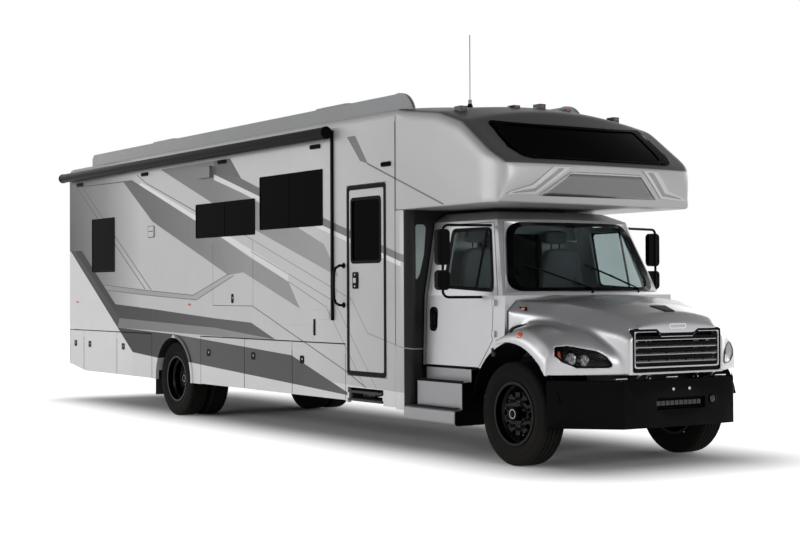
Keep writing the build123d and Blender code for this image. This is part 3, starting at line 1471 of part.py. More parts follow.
with BuildPart() as coach_skirts:
    for side in SIDES.values():
        skirt_plate(side, arch_panel_rear_x + panel_gap / 2, arch_panel_front_x - panel_gap / 2,
                    skirt_z, skirt_inner, coach_half_width)
        cross_rod(rear_axle_x, tyre_radius, arch_radius + arch_lip_width,
                  side * skirt_inner, side * (coach_half_width + arch_lip))
        cross_rod(rear_axle_x, tyre_radius, arch_radius + housing_sheet,
                  side * housing_depth, side * skirt_inner)
        cross_rod(rear_axle_x, tyre_radius, arch_radius, side * (housing_depth - overrun),
                  side * (coach_half_width + overrun), mode=Mode.SUBTRACT)
        block((arch_panel_rear_x - overrun, arch_panel_front_x + overrun),
              (side * (housing_depth - overrun), side * skirt_inner),
              (-arch_radius, skirt_bottom_z + 2 * overrun), mode=Mode.SUBTRACT)
        block((arch_panel_rear_x - overrun, arch_panel_front_x + overrun),
              (side * (skirt_inner - overrun), side * (coach_half_width + overrun)),
              (-arch_radius, skirt_bottom_z), mode=Mode.SUBTRACT)
        skirt_plate(side, coach_rear_x, coach_rear_x + skirt_wall / 2, skirt_z,
                    inner_half, coach_half_width)
    for rear_x, front_x in left_fixed:
        skirt_plate(1, rear_x, front_x - panel_gap / 2, skirt_z, skirt_inner, coach_half_width)
finish(coach_skirts, "coach_skirts")

# Baggage boxes hung under the bearers, open outward, with a partition at each door seam
box_sheet = 12
box_inner = rail_outer_y + 160
door_gap = 11
flap_low_z = 240
flap_y = (660, 1225)
box_outer = skirt_inner - 14
box_low_z = skirt_bottom_z + 20
box_groups = (
    (-1, (coach_rear_x + overrun, -5411, -4147, -2922)),
    (-1, (-1397, -180, 1013, 2205)),
    (1, (-4147, -2922)),
    (1, (-1397, 404, 2205)),
)
with BuildPart() as baggage_boxes:
    for side, walls in box_groups:
        low_z = max(box_low_z, tail_low(walls[0]) + box_sheet)
        block((walls[0], walls[-1]), (side * box_inner, side * box_outer), (low_z, rail_top_z))
        for rear_x, front_x in zip(walls, walls[1:]):
            block((rear_x + box_sheet, front_x - box_sheet),
                  (side * (box_inner + box_sheet), side * (box_outer + overrun)),
                  (low_z + box_sheet, rail_top_z - box_sheet), mode=Mode.SUBTRACT)
    # A flap behind each pair of rear tyres
    for side in SIDES.values():
        block((arch_panel_rear_x - box_sheet / 2, arch_panel_rear_x + box_sheet),
              (side * flap_y[0], side * flap_y[1]), (flap_low_z, arch_top_z - tail_rise))
    # Each door's hinge wire, on a strip that stands out from the box
    for side, doors in ((-1, right_doors), (1, left_doors)):
        for rear_x, front_x in doors:
            wire_x = front_x - door_gap / 2 + seat_gap + wire_radius
            wire_low_z = tail_low(front_x) + 2 * door_gap
            wire_high_z = rail_top_z - box_sheet
            upright_rod(wire_x, side * coach_half_width, wire_radius, wire_low_z, wire_high_z)
            block((wire_x, wire_x + wire_radius),
                  (side * (box_outer - box_sheet), side * coach_half_width),
                  (wire_low_z, wire_high_z))
finish(baggage_boxes, "baggage_boxes")


# Baggage doors, each hinged at its front edge, with a recessed oval latch near its rear edge
latch_z = 870
latch_inset = 235
latch_half = (24, 46)
latch_depth = 10
door_tables = (("right", -1, right_doors), ("left", 1, left_doors))
for side_name, side, doors in door_tables:
    for number, (rear_x, front_x) in enumerate(doors):
        with BuildPart() as baggage_door:
            skirt_plate(side, rear_x, front_x, skirt_top_z, skirt_inner, coach_half_width,
                        shrink=door_gap / 2)
            latch_x = rear_x + min(latch_inset, 0.4 * (front_x - rear_x))
            with BuildSketch(Plane.XZ.offset(-side * coach_half_width)) as recess:
                with Locations((latch_x, latch_z)):
                    RectangleRounded(2 * latch_half[0], 2 * latch_half[1], 0.96 * latch_half[0])
            extrude(recess.sketch, amount=latch_depth, dir=(0, -side, 0), mode=Mode.SUBTRACT)
        finish(baggage_door, f"baggage_door_{side_name}_{number + 1}")

# Hatch over the outside cupboard in the right wall, hinged along its top
with BuildPart() as cupboard_hatch:
    side_prism(window_points(hatch_x, hatch_z), -(coach_half_width - skirt_wall),
               -coach_half_width, shrink=hatch_gap)
    with BuildSketch(Plane.XZ.offset(coach_half_width)) as recess:
        with Locations(((hatch_x[0] + hatch_x[1]) / 2, hatch_z[0] + 2 * latch_half[1])):
            RectangleRounded(1.2 * latch_half[0], 2 * latch_half[1], 0.56 * latch_half[0])
    extrude(recess.sketch, amount=latch_depth, dir=(0, 1, 0), mode=Mode.SUBTRACT)
finish(cupboard_hatch, "cupboard_hatch")

# Entry door with its pane, hinged at its front edge, and the folding step below it
entry_pane_x = (2335, 2920)
entry_pane_z = (1958, 2637)
with BuildPart() as entry_door:
    side_prism(window_points(door_frame_x, door_frame_z), -inner_half, -coach_half_width,
               shrink=entry_gap)
    side_prism(window_points(entry_pane_x, entry_pane_z), -(inner_half - overrun),
               -(coach_half_width + overrun), mode=Mode.SUBTRACT, radius=window_corner)
finish(entry_door, "entry_door")

with BuildPart() as entry_door_glass:
    side_prism(window_points(entry_pane_x, entry_pane_z), -(coach_half_width - 2 * pane_thickness),
               -(coach_half_width - pane_thickness), radius=window_corner)
finish(entry_door_glass, "entry_door_glass")

with BuildPart() as entry_step:
    for low_z in (step_z[0], step_z[1] - step_sheet):
        block(step_x, (-(coach_half_width + overrun / 4 - step_depth),
                       -(coach_half_width + overrun / 4)), (low_z, low_z + step_sheet))
    for x in (step_x[0], step_x[1] - step_sheet):
        block((x, x + step_sheet), (-(coach_half_width - step_depth / 2),
                                    -(coach_half_width - overrun / 2)), step_z)
finish(entry_step, "entry_step")

# Slide-out room: an outer panel with a lip, four inner walls, open to the coach
with BuildPart() as slide_out:
    box_x = (slide_x[0] + slide_gap, slide_x[1] - slide_gap)
    box_z = (slide_z[0] + slide_gap, slide_z[1] - slide_gap)
    block(box_x, (coach_half_width - slide_depth, coach_half_width), box_z)
    block((box_x[0] + slide_wall, box_x[1] - slide_wall),
          (coach_half_width - slide_depth - overrun, coach_half_width - slide_wall),
          (box_z[0] + slide_wall, box_z[1] - slide_wall), mode=Mode.SUBTRACT)
    block((slide_x[0] - slide_lip, slide_x[1] + slide_lip),
          (coach_half_width + running_gap, coach_half_width + running_gap + sheet),
          (slide_z[0] - slide_lip, slide_z[1] + slide_lip))
    block(box_x, (coach_half_width - slide_wall, coach_half_width + running_gap + sheet / 2),
          box_z)
    for x_span, z_span in slide_windows:
        side_prism(window_points(x_span, z_span), coach_half_width - slide_wall - overrun,
                   coach_half_width + overrun, mode=Mode.SUBTRACT, radius=window_corner)
        side_prism(window_points(x_span, z_span), coach_half_width - pane_thickness,
                   coach_half_width, radius=window_corner)
finish(slide_out, "slide_out")

# Awning: the roller and its end caps on brackets, with one long arm on the wall
awning_x = (-6030, 1975)
awning_z = 3388
awning_radius = 66
awning_y = -(mirror_post_y - mirror_tube + 0.8 * mirror_head_half - 1.06 * awning_radius)
awning_cap = 40
arm_x = 1950
arm_half = 14
arm_low_z = 1326
with BuildPart() as awning:
    long_rod(awning_y, awning_z, awning_radius, awning_x[0] + awning_cap,
             awning_x[1] - awning_cap)
    for end_x in (awning_x[0], awning_x[1] - awning_cap):
        long_rod(awning_y, awning_z, 1.06 * awning_radius, end_x, end_x + awning_cap)
    for bracket_x in (coach_rear_x + overrun / 2, arm_x):
        block((bracket_x - arm_half, bracket_x + arm_half), (-coach_half_width, awning_y),
              (awning_z - arm_half, awning_z + 2 * arm_half))
    block((arm_x - arm_half, arm_x + arm_half),
          (-coach_half_width, -(coach_half_width + 2 * arm_half)), (arm_low_z, awning_z))
finish(awning, "awning")

# On the roof: side fairings, two air conditioners, vents and the whip aerial
fairing_y = 1120
fairing_thickness = 40
fairing_top_z = 3712
fairing_span = (-5420, 3320)
fairing_nose = 330
cooler_length = 1020
cooler_half = 360
cooler_top_z = 3925
cooler_rear_x = (-5250, -280)
vent_centres = ((-3300, 0), (1900, 0), (-1500, 300))
vent_half = 210
vent_height = 90
aerial_x = 3590
aerial_y = -600
aerial_top_z = 4300
aerial_radius = 5
with BuildPart() as roof_fittings:
    for side in SIDES.values():
        rear, front = fairing_span
        with BuildSketch(Plane.XZ.offset(-side * (fairing_y + fairing_thickness / 2))) as shroud:
            with BuildLine() as edges:
                Line((rear, wall_top_z), (front, wall_top_z))
                Line((front, wall_top_z), (front, roof_edge_z + 10))
                ThreePointArc((front, roof_edge_z + 10),
                              (front - 0.3 * fairing_nose, fairing_top_z - 45),
                              (front - fairing_nose, fairing_top_z))
                Line((front - fairing_nose, fairing_top_z), (rear + overrun, fairing_top_z))
                Line((rear + overrun, fairing_top_z), (rear, fairing_top_z - overrun))
                Line((rear, fairing_top_z - overrun), (rear, wall_top_z))
            make_face(edges.edges())
        extrude(shroud.sketch, amount=fairing_thickness, dir=(0, -side, 0))
    for cooler_x in cooler_rear_x:
        with BuildSketch(Plane.XY.offset(wall_top_z)) as cooler_low:
            with Locations((cooler_x + cooler_length / 2, 0)):
                RectangleRounded(cooler_length, 2 * cooler_half, 120)
        with BuildSketch(Plane.XY.offset(cooler_top_z)) as cooler_high:
            with Locations((cooler_x + cooler_length / 2, 0)):
                RectangleRounded(0.86 * cooler_length, 1.66 * cooler_half, 120)
        loft([cooler_low.sketch, cooler_high.sketch], ruled=True)
    for vent_x, vent_y in vent_centres:
        block((vent_x - vent_half, vent_x + vent_half), (vent_y - vent_half, vent_y + vent_half),
              (wall_top_z, roof_crown_z + vent_height))
    upright_rod(aerial_x, aerial_y, 4 * aerial_radius, roof_edge_z - overrun, roof_crown_z + 20)
    upright_rod(aerial_x, aerial_y, aerial_radius, roof_crown_z, aerial_top_z)
    # Everything stands on the roof skin and the cap
    extrude(roof_section(coach_rear_x - overrun, 0),
            amount=coach_seam_x - coach_rear_x + overrun, dir=(1, 0, 0), mode=Mode.SUBTRACT)
    add(cap_outer, mode=Mode.SUBTRACT)
finish(roof_fittings, "roof_fittings")

# Lamps: clearance lamps on the cap and tail, side markers and tail lamps
clearance_shares = (-0.78, -0.26, 0.0, 0.26, 0.78)
lamp_half = 60
tail_lamp_y = 1120
tail_lamp_z = (820, 1060)
lamp_depth = 22
marker_places = ((-1725, 1479), (-5664, 1494))
with BuildPart() as lamps:
    for share in clearance_shares:
        lamp_y = share * coach_half_width
        block((3930, 4040), (lamp_y - lamp_half / 1.5, lamp_y + lamp_half / 1.5),
              (roof_edge_z - 3 * overrun, roof_crown_z - (40 if share else 30)
               - 90 * abs(share)))
    add(cap_outer, mode=Mode.SUBTRACT)
    for share in clearance_shares:
        lamp_y = share * coach_half_width
        block((coach_rear_x - lamp_depth, coach_rear_x), (lamp_y - lamp_half, lamp_y + lamp_half),
              (wall_top_z - overrun, wall_top_z - overrun / 3))
    for side in SIDES.values():
        block((coach_rear_x - lamp_depth, coach_rear_x),
              (side * tail_lamp_y - lamp_half, side * tail_lamp_y + lamp_half), tail_lamp_z)
        for x, z in marker_places:
            block((x - lamp_half / 2, x + lamp_half / 2),
                  (side * coach_half_width, side * (coach_half_width + lamp_depth / 2)),
                  (z - lamp_half / 5, z + lamp_half / 5))
finish(lamps, "lamps")

# Rear bumper, and the hitch receiver that hangs below it from a bar between the rails
rear_bumper_z = (560, 700)
hitch_pin_radius = 8
hitch_pin_inset = 60
with BuildPart() as rear_bumper:
    block((vehicle_rear_x, coach_rear_x), (-inner_half, inner_half), rear_bumper_z)
    block((vehicle_rear_x, vehicle_rear_x + receiver_length), (-receiver_half, receiver_half),
          (receiver_z - receiver_half, receiver_z + receiver_half))
    block((coach_rear_x + wall + overrun, coach_rear_x + wall + 2 * overrun),
          (-rail_inner_y, rail_inner_y), (receiver_z - receiver_half, rail_bottom_z - panel_gap))
    for side in SIDES.values():
        block((coach_rear_x + wall, rail_rear_x + 3 * overrun),
              (side * (rail_outer_y - rail_flange), side * rail_inner_y),
              (rear_bumper_z[0], rail_bottom_z))
    block((vehicle_rear_x - overrun, vehicle_rear_x + receiver_length + overrun),
          (-receiver_bore_half, receiver_bore_half),
          (receiver_z - receiver_bore_half, receiver_z + receiver_bore_half),
          mode=Mode.SUBTRACT)
    cross_rod(vehicle_rear_x + hitch_pin_inset, receiver_z, hitch_pin_radius,
              -receiver_half - overrun, receiver_half + overrun, mode=Mode.SUBTRACT)
    block((coach_rear_x - seat_gap / 3, coach_rear_x + wall), (-inner_half, inner_half),
          (rail_bottom_z - overrun, rail_bottom_z), mode=Mode.SUBTRACT)
finish(rear_bumper, "rear_bumper")
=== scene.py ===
from math import cos, hypot, pi, radians, sin

import bmesh
import bpy
from mathutils import Matrix, Vector
from mathutils.bvhtree import BVHTree


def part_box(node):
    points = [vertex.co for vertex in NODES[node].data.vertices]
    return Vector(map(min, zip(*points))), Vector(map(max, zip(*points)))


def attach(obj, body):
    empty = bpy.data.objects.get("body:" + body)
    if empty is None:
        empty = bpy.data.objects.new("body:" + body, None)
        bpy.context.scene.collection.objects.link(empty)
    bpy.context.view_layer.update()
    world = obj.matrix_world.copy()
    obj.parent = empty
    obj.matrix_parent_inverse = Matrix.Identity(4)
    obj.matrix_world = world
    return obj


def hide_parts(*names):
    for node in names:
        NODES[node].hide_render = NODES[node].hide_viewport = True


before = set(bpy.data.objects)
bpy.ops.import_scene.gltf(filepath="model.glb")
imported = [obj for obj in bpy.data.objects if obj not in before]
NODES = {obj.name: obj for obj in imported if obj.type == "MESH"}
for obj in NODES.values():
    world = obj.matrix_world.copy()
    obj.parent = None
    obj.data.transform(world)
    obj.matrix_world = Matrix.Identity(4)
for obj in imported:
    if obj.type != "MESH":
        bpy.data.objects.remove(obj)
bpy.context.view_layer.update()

SIDES = (("right", -1), ("left", 1))
BACKWARD = Vector((-1, 0, 0))
DOWNWARD = Vector((0, 0, -1))

# Places read from the frame
WALL_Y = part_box("coach_wall_left")[1].y
REAR_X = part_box("coach_wall_right")[0].x
SEAM_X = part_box("coach_wall_right")[1].x
GROUND_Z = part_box("front_tyre_right")[0].z
FRONT_AXLE_X, REAR_AXLE_X = (
    sum(corner.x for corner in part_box(node)) / 2
    for node in ("front_tyre_right", "rear_tyres_right"))
TYRE_RADIUS = (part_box("front_tyre_right")[1].z - GROUND_Z) / 2

# Camera at the photograph's angle, for a frame of 800 by 541
CAMERA_PLACE = Vector((16.349, -9.820, 1.661))
CAMERA_AZIMUTH = radians(56.819)
CAMERA_ELEVATION = radians(-0.722)
CAMERA_ROLL = radians(-0.247)
CAMERA_LENS = 68.33


def make_camera():
    """The camera, built from its place, its two angles, its roll and its lens."""
    back = Vector((
        sin(CAMERA_AZIMUTH) * cos(CAMERA_ELEVATION),
        -cos(CAMERA_AZIMUTH) * cos(CAMERA_ELEVATION),
        sin(CAMERA_ELEVATION),
    ))
    level = (-back).cross(Vector((0, 0, 1))).normalized()
    rise = level.cross(-back)
    right = cos(CAMERA_ROLL) * level + sin(CAMERA_ROLL) * rise
    up = cos(CAMERA_ROLL) * rise - sin(CAMERA_ROLL) * level
    data = bpy.data.cameras.new("camera")
    data.lens = CAMERA_LENS
    data.sensor_width = 36
    data.clip_end = 500
    camera = bpy.data.objects.new("camera", data)
    camera.matrix_world = Matrix.Translation(CAMERA_PLACE) @ Matrix(
        (right, up, back)).transposed().to_4x4()
    bpy.context.scene.collection.objects.link(camera)
    bpy.context.scene.camera = camera


# Shader helpers
def to_linear(tone):
    """A display tone from 0 to 1 as linear light."""
    return tone / 12.92 if tone <= 0.04045 else ((tone + 0.055) / 1.055) ** 2.4


def colour(*tones):
    """A linear RGBA colour from one display tone, or from three."""
    values = [to_linear(tone) for tone in (tones * 3 if len(tones) == 1 else tones)]
    return (*values, 1)


class Tree:
    """A node tree with short calls for the nodes that the materials use."""

    def __init__(self, tree):
        self.tree = tree

    def node(self, kind, inputs=None, **settings):
        made = self.tree.nodes.new(kind)
        for name, value in settings.items():
            setattr(made, name, value)
        for key, value in (inputs or {}).items():
            self.set(made.inputs[key], value)
        return made

    def set(self, socket, value):
        if isinstance(value, bpy.types.NodeSocket):
            self.tree.links.new(value, socket)
        else:
            socket.default_value = value

    def math(self, operation, first, second=0.0, clamp=False):
        made = self.node("ShaderNodeMath", {0: first, 1: second}, operation=operation)
        made.use_clamp = clamp
        return made.outputs[0]

    def mix(self, share, first, second):
        made = self.node("ShaderNodeMix", {"Factor": share}, data_type="RGBA")
        self.set(made.inputs[6], first)
        self.set(made.inputs[7], second)
        return made.outputs[2]

    def ramp(self, value, low, high, start=0.0, end=1.0):
        made = self.node("ShaderNodeMapRange", {
            "Value": value, "From Min": low, "From Max": high, "To Min": start, "To Max": end})
        return made.outputs["Result"]

    def noise(self, place, scale, detail=3.0, roughness=0.55):
        made = self.node("ShaderNodeTexNoise", {
            "Vector": place, "Scale": scale, "Detail": detail, "Roughness": roughness})
        return made.outputs["Fac"]

    def bump(self, height, strength, distance):
        made = self.node("ShaderNodeBump", {
            "Height": height, "Strength": strength, "Distance": distance})
        return made.outputs["Normal"]


MATERIALS = {}
# Painted shade on the cap's crown: how far a face turns forward, and from what height up
PAINTED_SHADE_TURN = (0.72, 0.5)
PAINTED_SHADE_HEIGHT = (2.850, 2.862)
# Road dust: the heights between which it fades in, and its tone
DUST_HEIGHT = (0.95, 0.25)
DUST_TONE = (0.5, 0.48, 0.45)


def material(name, tones, metallic=0.0, rough=0.5, coat=0.0, coat_rough=0.08, spread=0.04,
             grain=30.0, bump=0.0, dust=0.0, transmission=0.0, ior=1.5, emission=0.0,
             livery=None, crown=0, along=()):
    """One procedural material: a base tone that varies, painted shade on the cap's crown, road
    dust low down and fine bump.
    """
    made = bpy.data.materials.new(name)
    made.use_nodes = True
    tree = Tree(made.node_tree)
    shader = made.node_tree.nodes["Principled BSDF"]
    place = tree.node("ShaderNodeTexCoord").outputs["Object"]
    base = colour(*tones)
    if livery:
        group = tree.node("ShaderNodeGroup")
        group.node_tree = livery
        tree.set(group.inputs[0], place)
        base = group.outputs[0]
    # Painted shade: the crown tone darkens faces that turn forward, above a height
    if crown:
        facing = tree.node("ShaderNodeSeparateXYZ", {
            0: tree.node("ShaderNodeNewGeometry").outputs["Normal"]}).outputs[1]
        height = tree.node("ShaderNodeSeparateXYZ", {0: place}).outputs[2]
        share = tree.math("MULTIPLY", tree.ramp(tree.math("ABSOLUTE", facing), *PAINTED_SHADE_TURN),
                          tree.ramp(height, *PAINTED_SHADE_HEIGHT))
        base = tree.mix(share, base, colour(crown))
    if along:
        split = tree.node("ShaderNodeSeparateXYZ", {0: place}).outputs[0]
        for edge, tones_beyond in along:
            base = tree.mix(tree.math("GREATER_THAN", split, edge), base, colour(*tones_beyond))
    wide = tree.noise(place, 2.3, 4.0)
    fine = tree.noise(place, grain, 3.0)
    change = tree.ramp(wide, 0.3, 0.7, 1 - spread, 1 + spread)
    shade = tree.node("ShaderNodeHueSaturation", {"Value": change, "Color": base})
    result = shade.outputs["Color"]
    if dust:
        height = tree.node("ShaderNodeSeparateXYZ", {0: place}).outputs[2]
        low = tree.ramp(height, *DUST_HEIGHT)
        patchy = tree.math("MULTIPLY", low, tree.ramp(fine, 0.35, 0.7))
        result = tree.mix(tree.math("MULTIPLY", patchy, dust), result, colour(*DUST_TONE))
    tree.set(shader.inputs["Base Color"], result)
    shader.inputs["Metallic"].default_value = metallic
    tree.set(shader.inputs["Roughness"], tree.ramp(fine, 0.3, 0.7, rough * 0.88, rough * 1.12))
    shader.inputs["Coat Weight"].default_value = coat
    shader.inputs["Coat Roughness"].default_value = coat_rough
    shader.inputs["IOR"].default_value = ior
    shader.inputs["Transmission Weight"].default_value = transmission
    if bump:
        tree.set(shader.inputs["Normal"], tree.bump(fine, 0.5, bump))
    if emission:
        tree.set(shader.inputs["Emission Color"], colour(*tones))
        shader.inputs["Emission Strength"].default_value = emission
    MATERIALS[name] = made
    return made


# The livery in side view. Each shape is its tones at its rear and front end, then its corners
# as (x, z) in metres, in a convex order
SHAPES = (
    # Rear corner, and the plain strip along the bottom
    (0.90, 0.90, (-6.1, 2.27), (-5.95, 2.27), (-3.58, 0.80), (-3.58, 0.3), (-6.1, 0.3)),
    (0.88, 0.88, (-3.58, 0.80), (3.5, 0.60), (3.5, 0.3), (-3.58, 0.3)),
    # The charcoal band and its paler lower edge
    (0.24, 0.22, (-5.95, 2.27), (-5.78, 2.27), (-4.05, 1.27), (-4.12, 1.135)),
    (0.10, 0.13, (-5.78, 2.27), (-5.5, 2.27), (-4.2, 1.47), (-4.05, 1.27)),
    (0.16, 0.24, (-4.2, 1.47), (-2.9, 1.41), (-2.9, 1.22), (-4.05, 1.27)),
    (0.24, 0.34, (-2.9, 1.41), (-1.0, 1.31), (-1.0, 1.19), (-2.9, 1.22)),
    (0.34, 0.40, (-1.0, 1.31), (0.0, 1.27), (0.62, 1.08), (-1.0, 1.19)),
    (0.46, 0.56, (-4.05, 1.27), (-1.0, 1.19), (-1.0, 1.085), (-4.12, 1.135)),
    (0.56, 0.62, (-1.0, 1.19), (0.62, 1.08), (0.62, 1.07), (-1.0, 1.085)),
    (0.13, 0.18, (-4.12, 1.135), (-2.9, 1.10), (-2.9, 0.76), (-3.58, 0.80)),
    (0.18, 0.24, (-2.9, 1.10), (-2.2, 1.08), (-2.7, 0.75), (-2.9, 0.76)),
    (0.38, 0.34, (-2.2, 1.08), (-1.4, 1.04), (-1.4, 0.71), (-1.75, 0.73)),
    (0.31, 0.31, (-1.4, 1.04), (1.0, 0.91), (1.0, 0.585), (-1.4, 0.71)),
    (0.31, 0.36, (1.0, 0.91), (2.24, 0.55), (2.24, 0.52), (1.0, 0.585)),
    # The ribbon that rises to its point
    (0.60, 0.66, (-4.65, 1.75), (-3.1, 1.665), (-3.1, 1.60), (-4.5, 1.67)),
    (0.66, 0.70, (-3.1, 1.665), (-1.62, 1.60), (-1.52, 1.54), (-3.1, 1.60)),
    (0.70, 0.74, (-1.62, 1.60), (-0.62, 1.862), (-0.5, 1.83), (-1.52, 1.54)),
    # The broad grey sweep, and the white one above it
    (0.36, 0.42, (-3.9, 3.21), (-3.57, 3.21), (-2.9, 3.0), (-2.9, 2.61)),
    (0.42, 0.58, (-2.9, 3.0), (-0.87, 2.35), (-0.6, 1.85), (-2.9, 2.61)),
    (0.58, 0.62, (-0.87, 2.35), (0.0, 2.05), (-0.2, 1.88), (-0.6, 1.85)),
    (0.62, 0.62, (0.0, 2.05), (0.93, 1.76), (1.2, 1.45), (-0.2, 1.88)),
    (0.93, 0.93, (-3.25, 3.16), (-0.85, 2.42), (-0.87, 2.35), (-3.35, 3.14)),
    (0.93, 0.90, (-0.85, 2.42), (0.93, 1.86), (0.93, 1.76), (-0.87, 2.35)),
    # The upper grey sweep, the white one above it and the dark one that runs to the front
    (0.50, 0.52, (-2.62, 3.3), (-1.0, 3.3), (-1.0, 3.10), (-1.05, 2.77)),
    (0.52, 0.60, (-1.0, 3.10), (0.24, 2.70), (0.1, 2.39), (-1.05, 2.77)),
    (0.60, 0.66, (0.24, 2.70), (1.75, 2.17), (2.07, 1.80), (0.1, 2.39)),
    (0.91, 0.91, (-1.0, 3.13), (3.3, 1.95), (3.3, 1.90), (-1.0, 3.06)),
    (0.42, 0.42, (-1.0, 3.3), (-0.55, 3.3), (-0.25, 3.03), (-1.0, 3.13)),
    (0.42, 0.46, (-0.25, 3.03), (0.24, 2.88), (0.24, 2.78), (-1.0, 3.13)),
    (0.48, 0.52, (0.24, 2.88), (3.75, 1.905), (3.75, 1.83), (0.24, 2.78)),
    (0.50, 0.50, (2.25, 3.32), (2.42, 3.32), (2.68, 3.0), (2.52, 3.04)),
    # The dark wall behind the cab
    (0.14, 0.14, (3.335, 2.478), (3.60, 2.478), (3.60, 0.4), (3.335, 0.4)),
)
# Pinstripes: tone, width, then the points they run through
PINSTRIPES = (
    (0.30, 0.014, (-5.70, 3.24), (-3.14, 1.68)),
    (0.34, 0.014, (-5.47, 3.22), (-2.94, 1.67)),
    (0.32, 0.014, (-5.70, 3.24), (-3.57, 3.21)),
    (0.45, 0.014, (-3.42, 3.28), (-3.1, 3.145), (-1.5, 2.675)),
    (0.42, 0.010, (-4.65, 1.75), (-3.1, 1.665), (-1.62, 1.60), (-0.6, 1.865)),
    (0.42, 0.010, (-4.5, 1.67), (-3.1, 1.60), (-1.52, 1.54), (-0.45, 1.845)),
    (0.60, 0.010, (-0.25, 2.36), (2.33, 1.56), (2.66, 1.20), (3.76, 0.98)),
    (0.60, 0.010, (0.0, 2.13), (1.98, 1.53), (2.83, 0.62)),
    (0.60, 0.010, (0.93, 1.76), (1.80, 1.47), (2.6, 0.62)),
    (0.45, 0.012, (0.04, 1.47), (2.24, 0.77), (2.62, 0.62)),
    (0.45, 0.018, (2.66, 3.005), (4.08, 2.5)),
)
# Tones of the plain side at places along x
BASE_TONES = ((-5.9, 0.36), (-4.6, 0.55), (-3.3, 0.80), (1.5, 0.82), (3.4, 0.74))
EDGE_SOFTNESS = 0.003


def livery_group(name):
    """The side livery as a node group: a tone for each place, by its x and z alone."""
    group = bpy.data.node_groups.new(name, "ShaderNodeTree")
    group.interface.new_socket("Place", in_out="INPUT", socket_type="NodeSocketVector")
    group.interface.new_socket("Colour", in_out="OUTPUT", socket_type="NodeSocketColor")
    tree = Tree(group)
    place = tree.node("NodeGroupInput").outputs[0]
    split = tree.node("ShaderNodeSeparateXYZ", {0: place})
    x = split.outputs[0]
    flat = tree.node("ShaderNodeCombineXYZ", {0: x, 1: split.outputs[2], 2: 1.0}).outputs[0]
    tone = BASE_TONES[0][1]
    for (start, low), (end, high) in zip(BASE_TONES, BASE_TONES[1:]):
        step = tree.ramp(x, start, end, 0.0, to_linear(high) - to_linear(low))
        tone = tree.math("ADD", tone if not isinstance(tone, float) else to_linear(tone), step)

    def paint(under, corners, rear_tone, front_tone):
        """One convex shape, laid over what is under it."""
        middle = (sum(x for x, z in corners) / len(corners),
                  sum(z for x, z in corners) / len(corners))
        inside = None
        for (ax, az), (bx, bz) in zip(corners, corners[1:] + corners[:1]):
            length = hypot(bx - ax, bz - az)
            nx, nz = (az - bz) / length, (bx - ax) / length
            shift = -(nx * ax + nz * az)
            if nx * middle[0] + nz * middle[1] + shift < 0:
                nx, nz, shift = -nx, -nz, -shift
            dot = tree.node("ShaderNodeVectorMath", {0: flat, 1: (nx, nz, shift)},
                            operation="DOT_PRODUCT").outputs["Value"]
            inside = dot if inside is None else tree.math("MINIMUM", inside, dot)
        share = tree.ramp(inside, -EDGE_SOFTNESS / 2, EDGE_SOFTNESS / 2)
        xs = [x for x, z in corners]
        if rear_tone == front_tone:
            over = to_linear(rear_tone)
        else:
            over = tree.ramp(x, min(xs), max(xs), to_linear(rear_tone), to_linear(front_tone))
        blend = tree.node("ShaderNodeMix", {"Factor": share, 2: under, 3: over})
        return blend.outputs[0]

    for rear_tone, front_tone, *corners in SHAPES:
        tone = paint(tone, corners, rear_tone, front_tone)
    for line_tone, width, *points in PINSTRIPES:
        for (ax, az), (bx, bz) in zip(points, points[1:]):
            length = hypot(bx - ax, bz - az)
            sx, sz = -(bz - az) / length * width / 2, (bx - ax) / length * width / 2
            corners = [(ax + sx, az + sz), (bx + sx, bz + sz), (bx - sx, bz - sz),
                       (ax - sx, az - sz)]
            tone = paint(tone, corners, line_tone, line_tone)
    # A trace of warmth in the silver
    warm = tree.node("ShaderNodeCombineColor", {
        0: tone, 1: tree.math("MULTIPLY", tone, 0.985), 2: tree.math("MULTIPLY", tone, 0.995)})
    tree.tree.links.new(warm.outputs[0], tree.node("NodeGroupOutput").inputs[0])
    return group


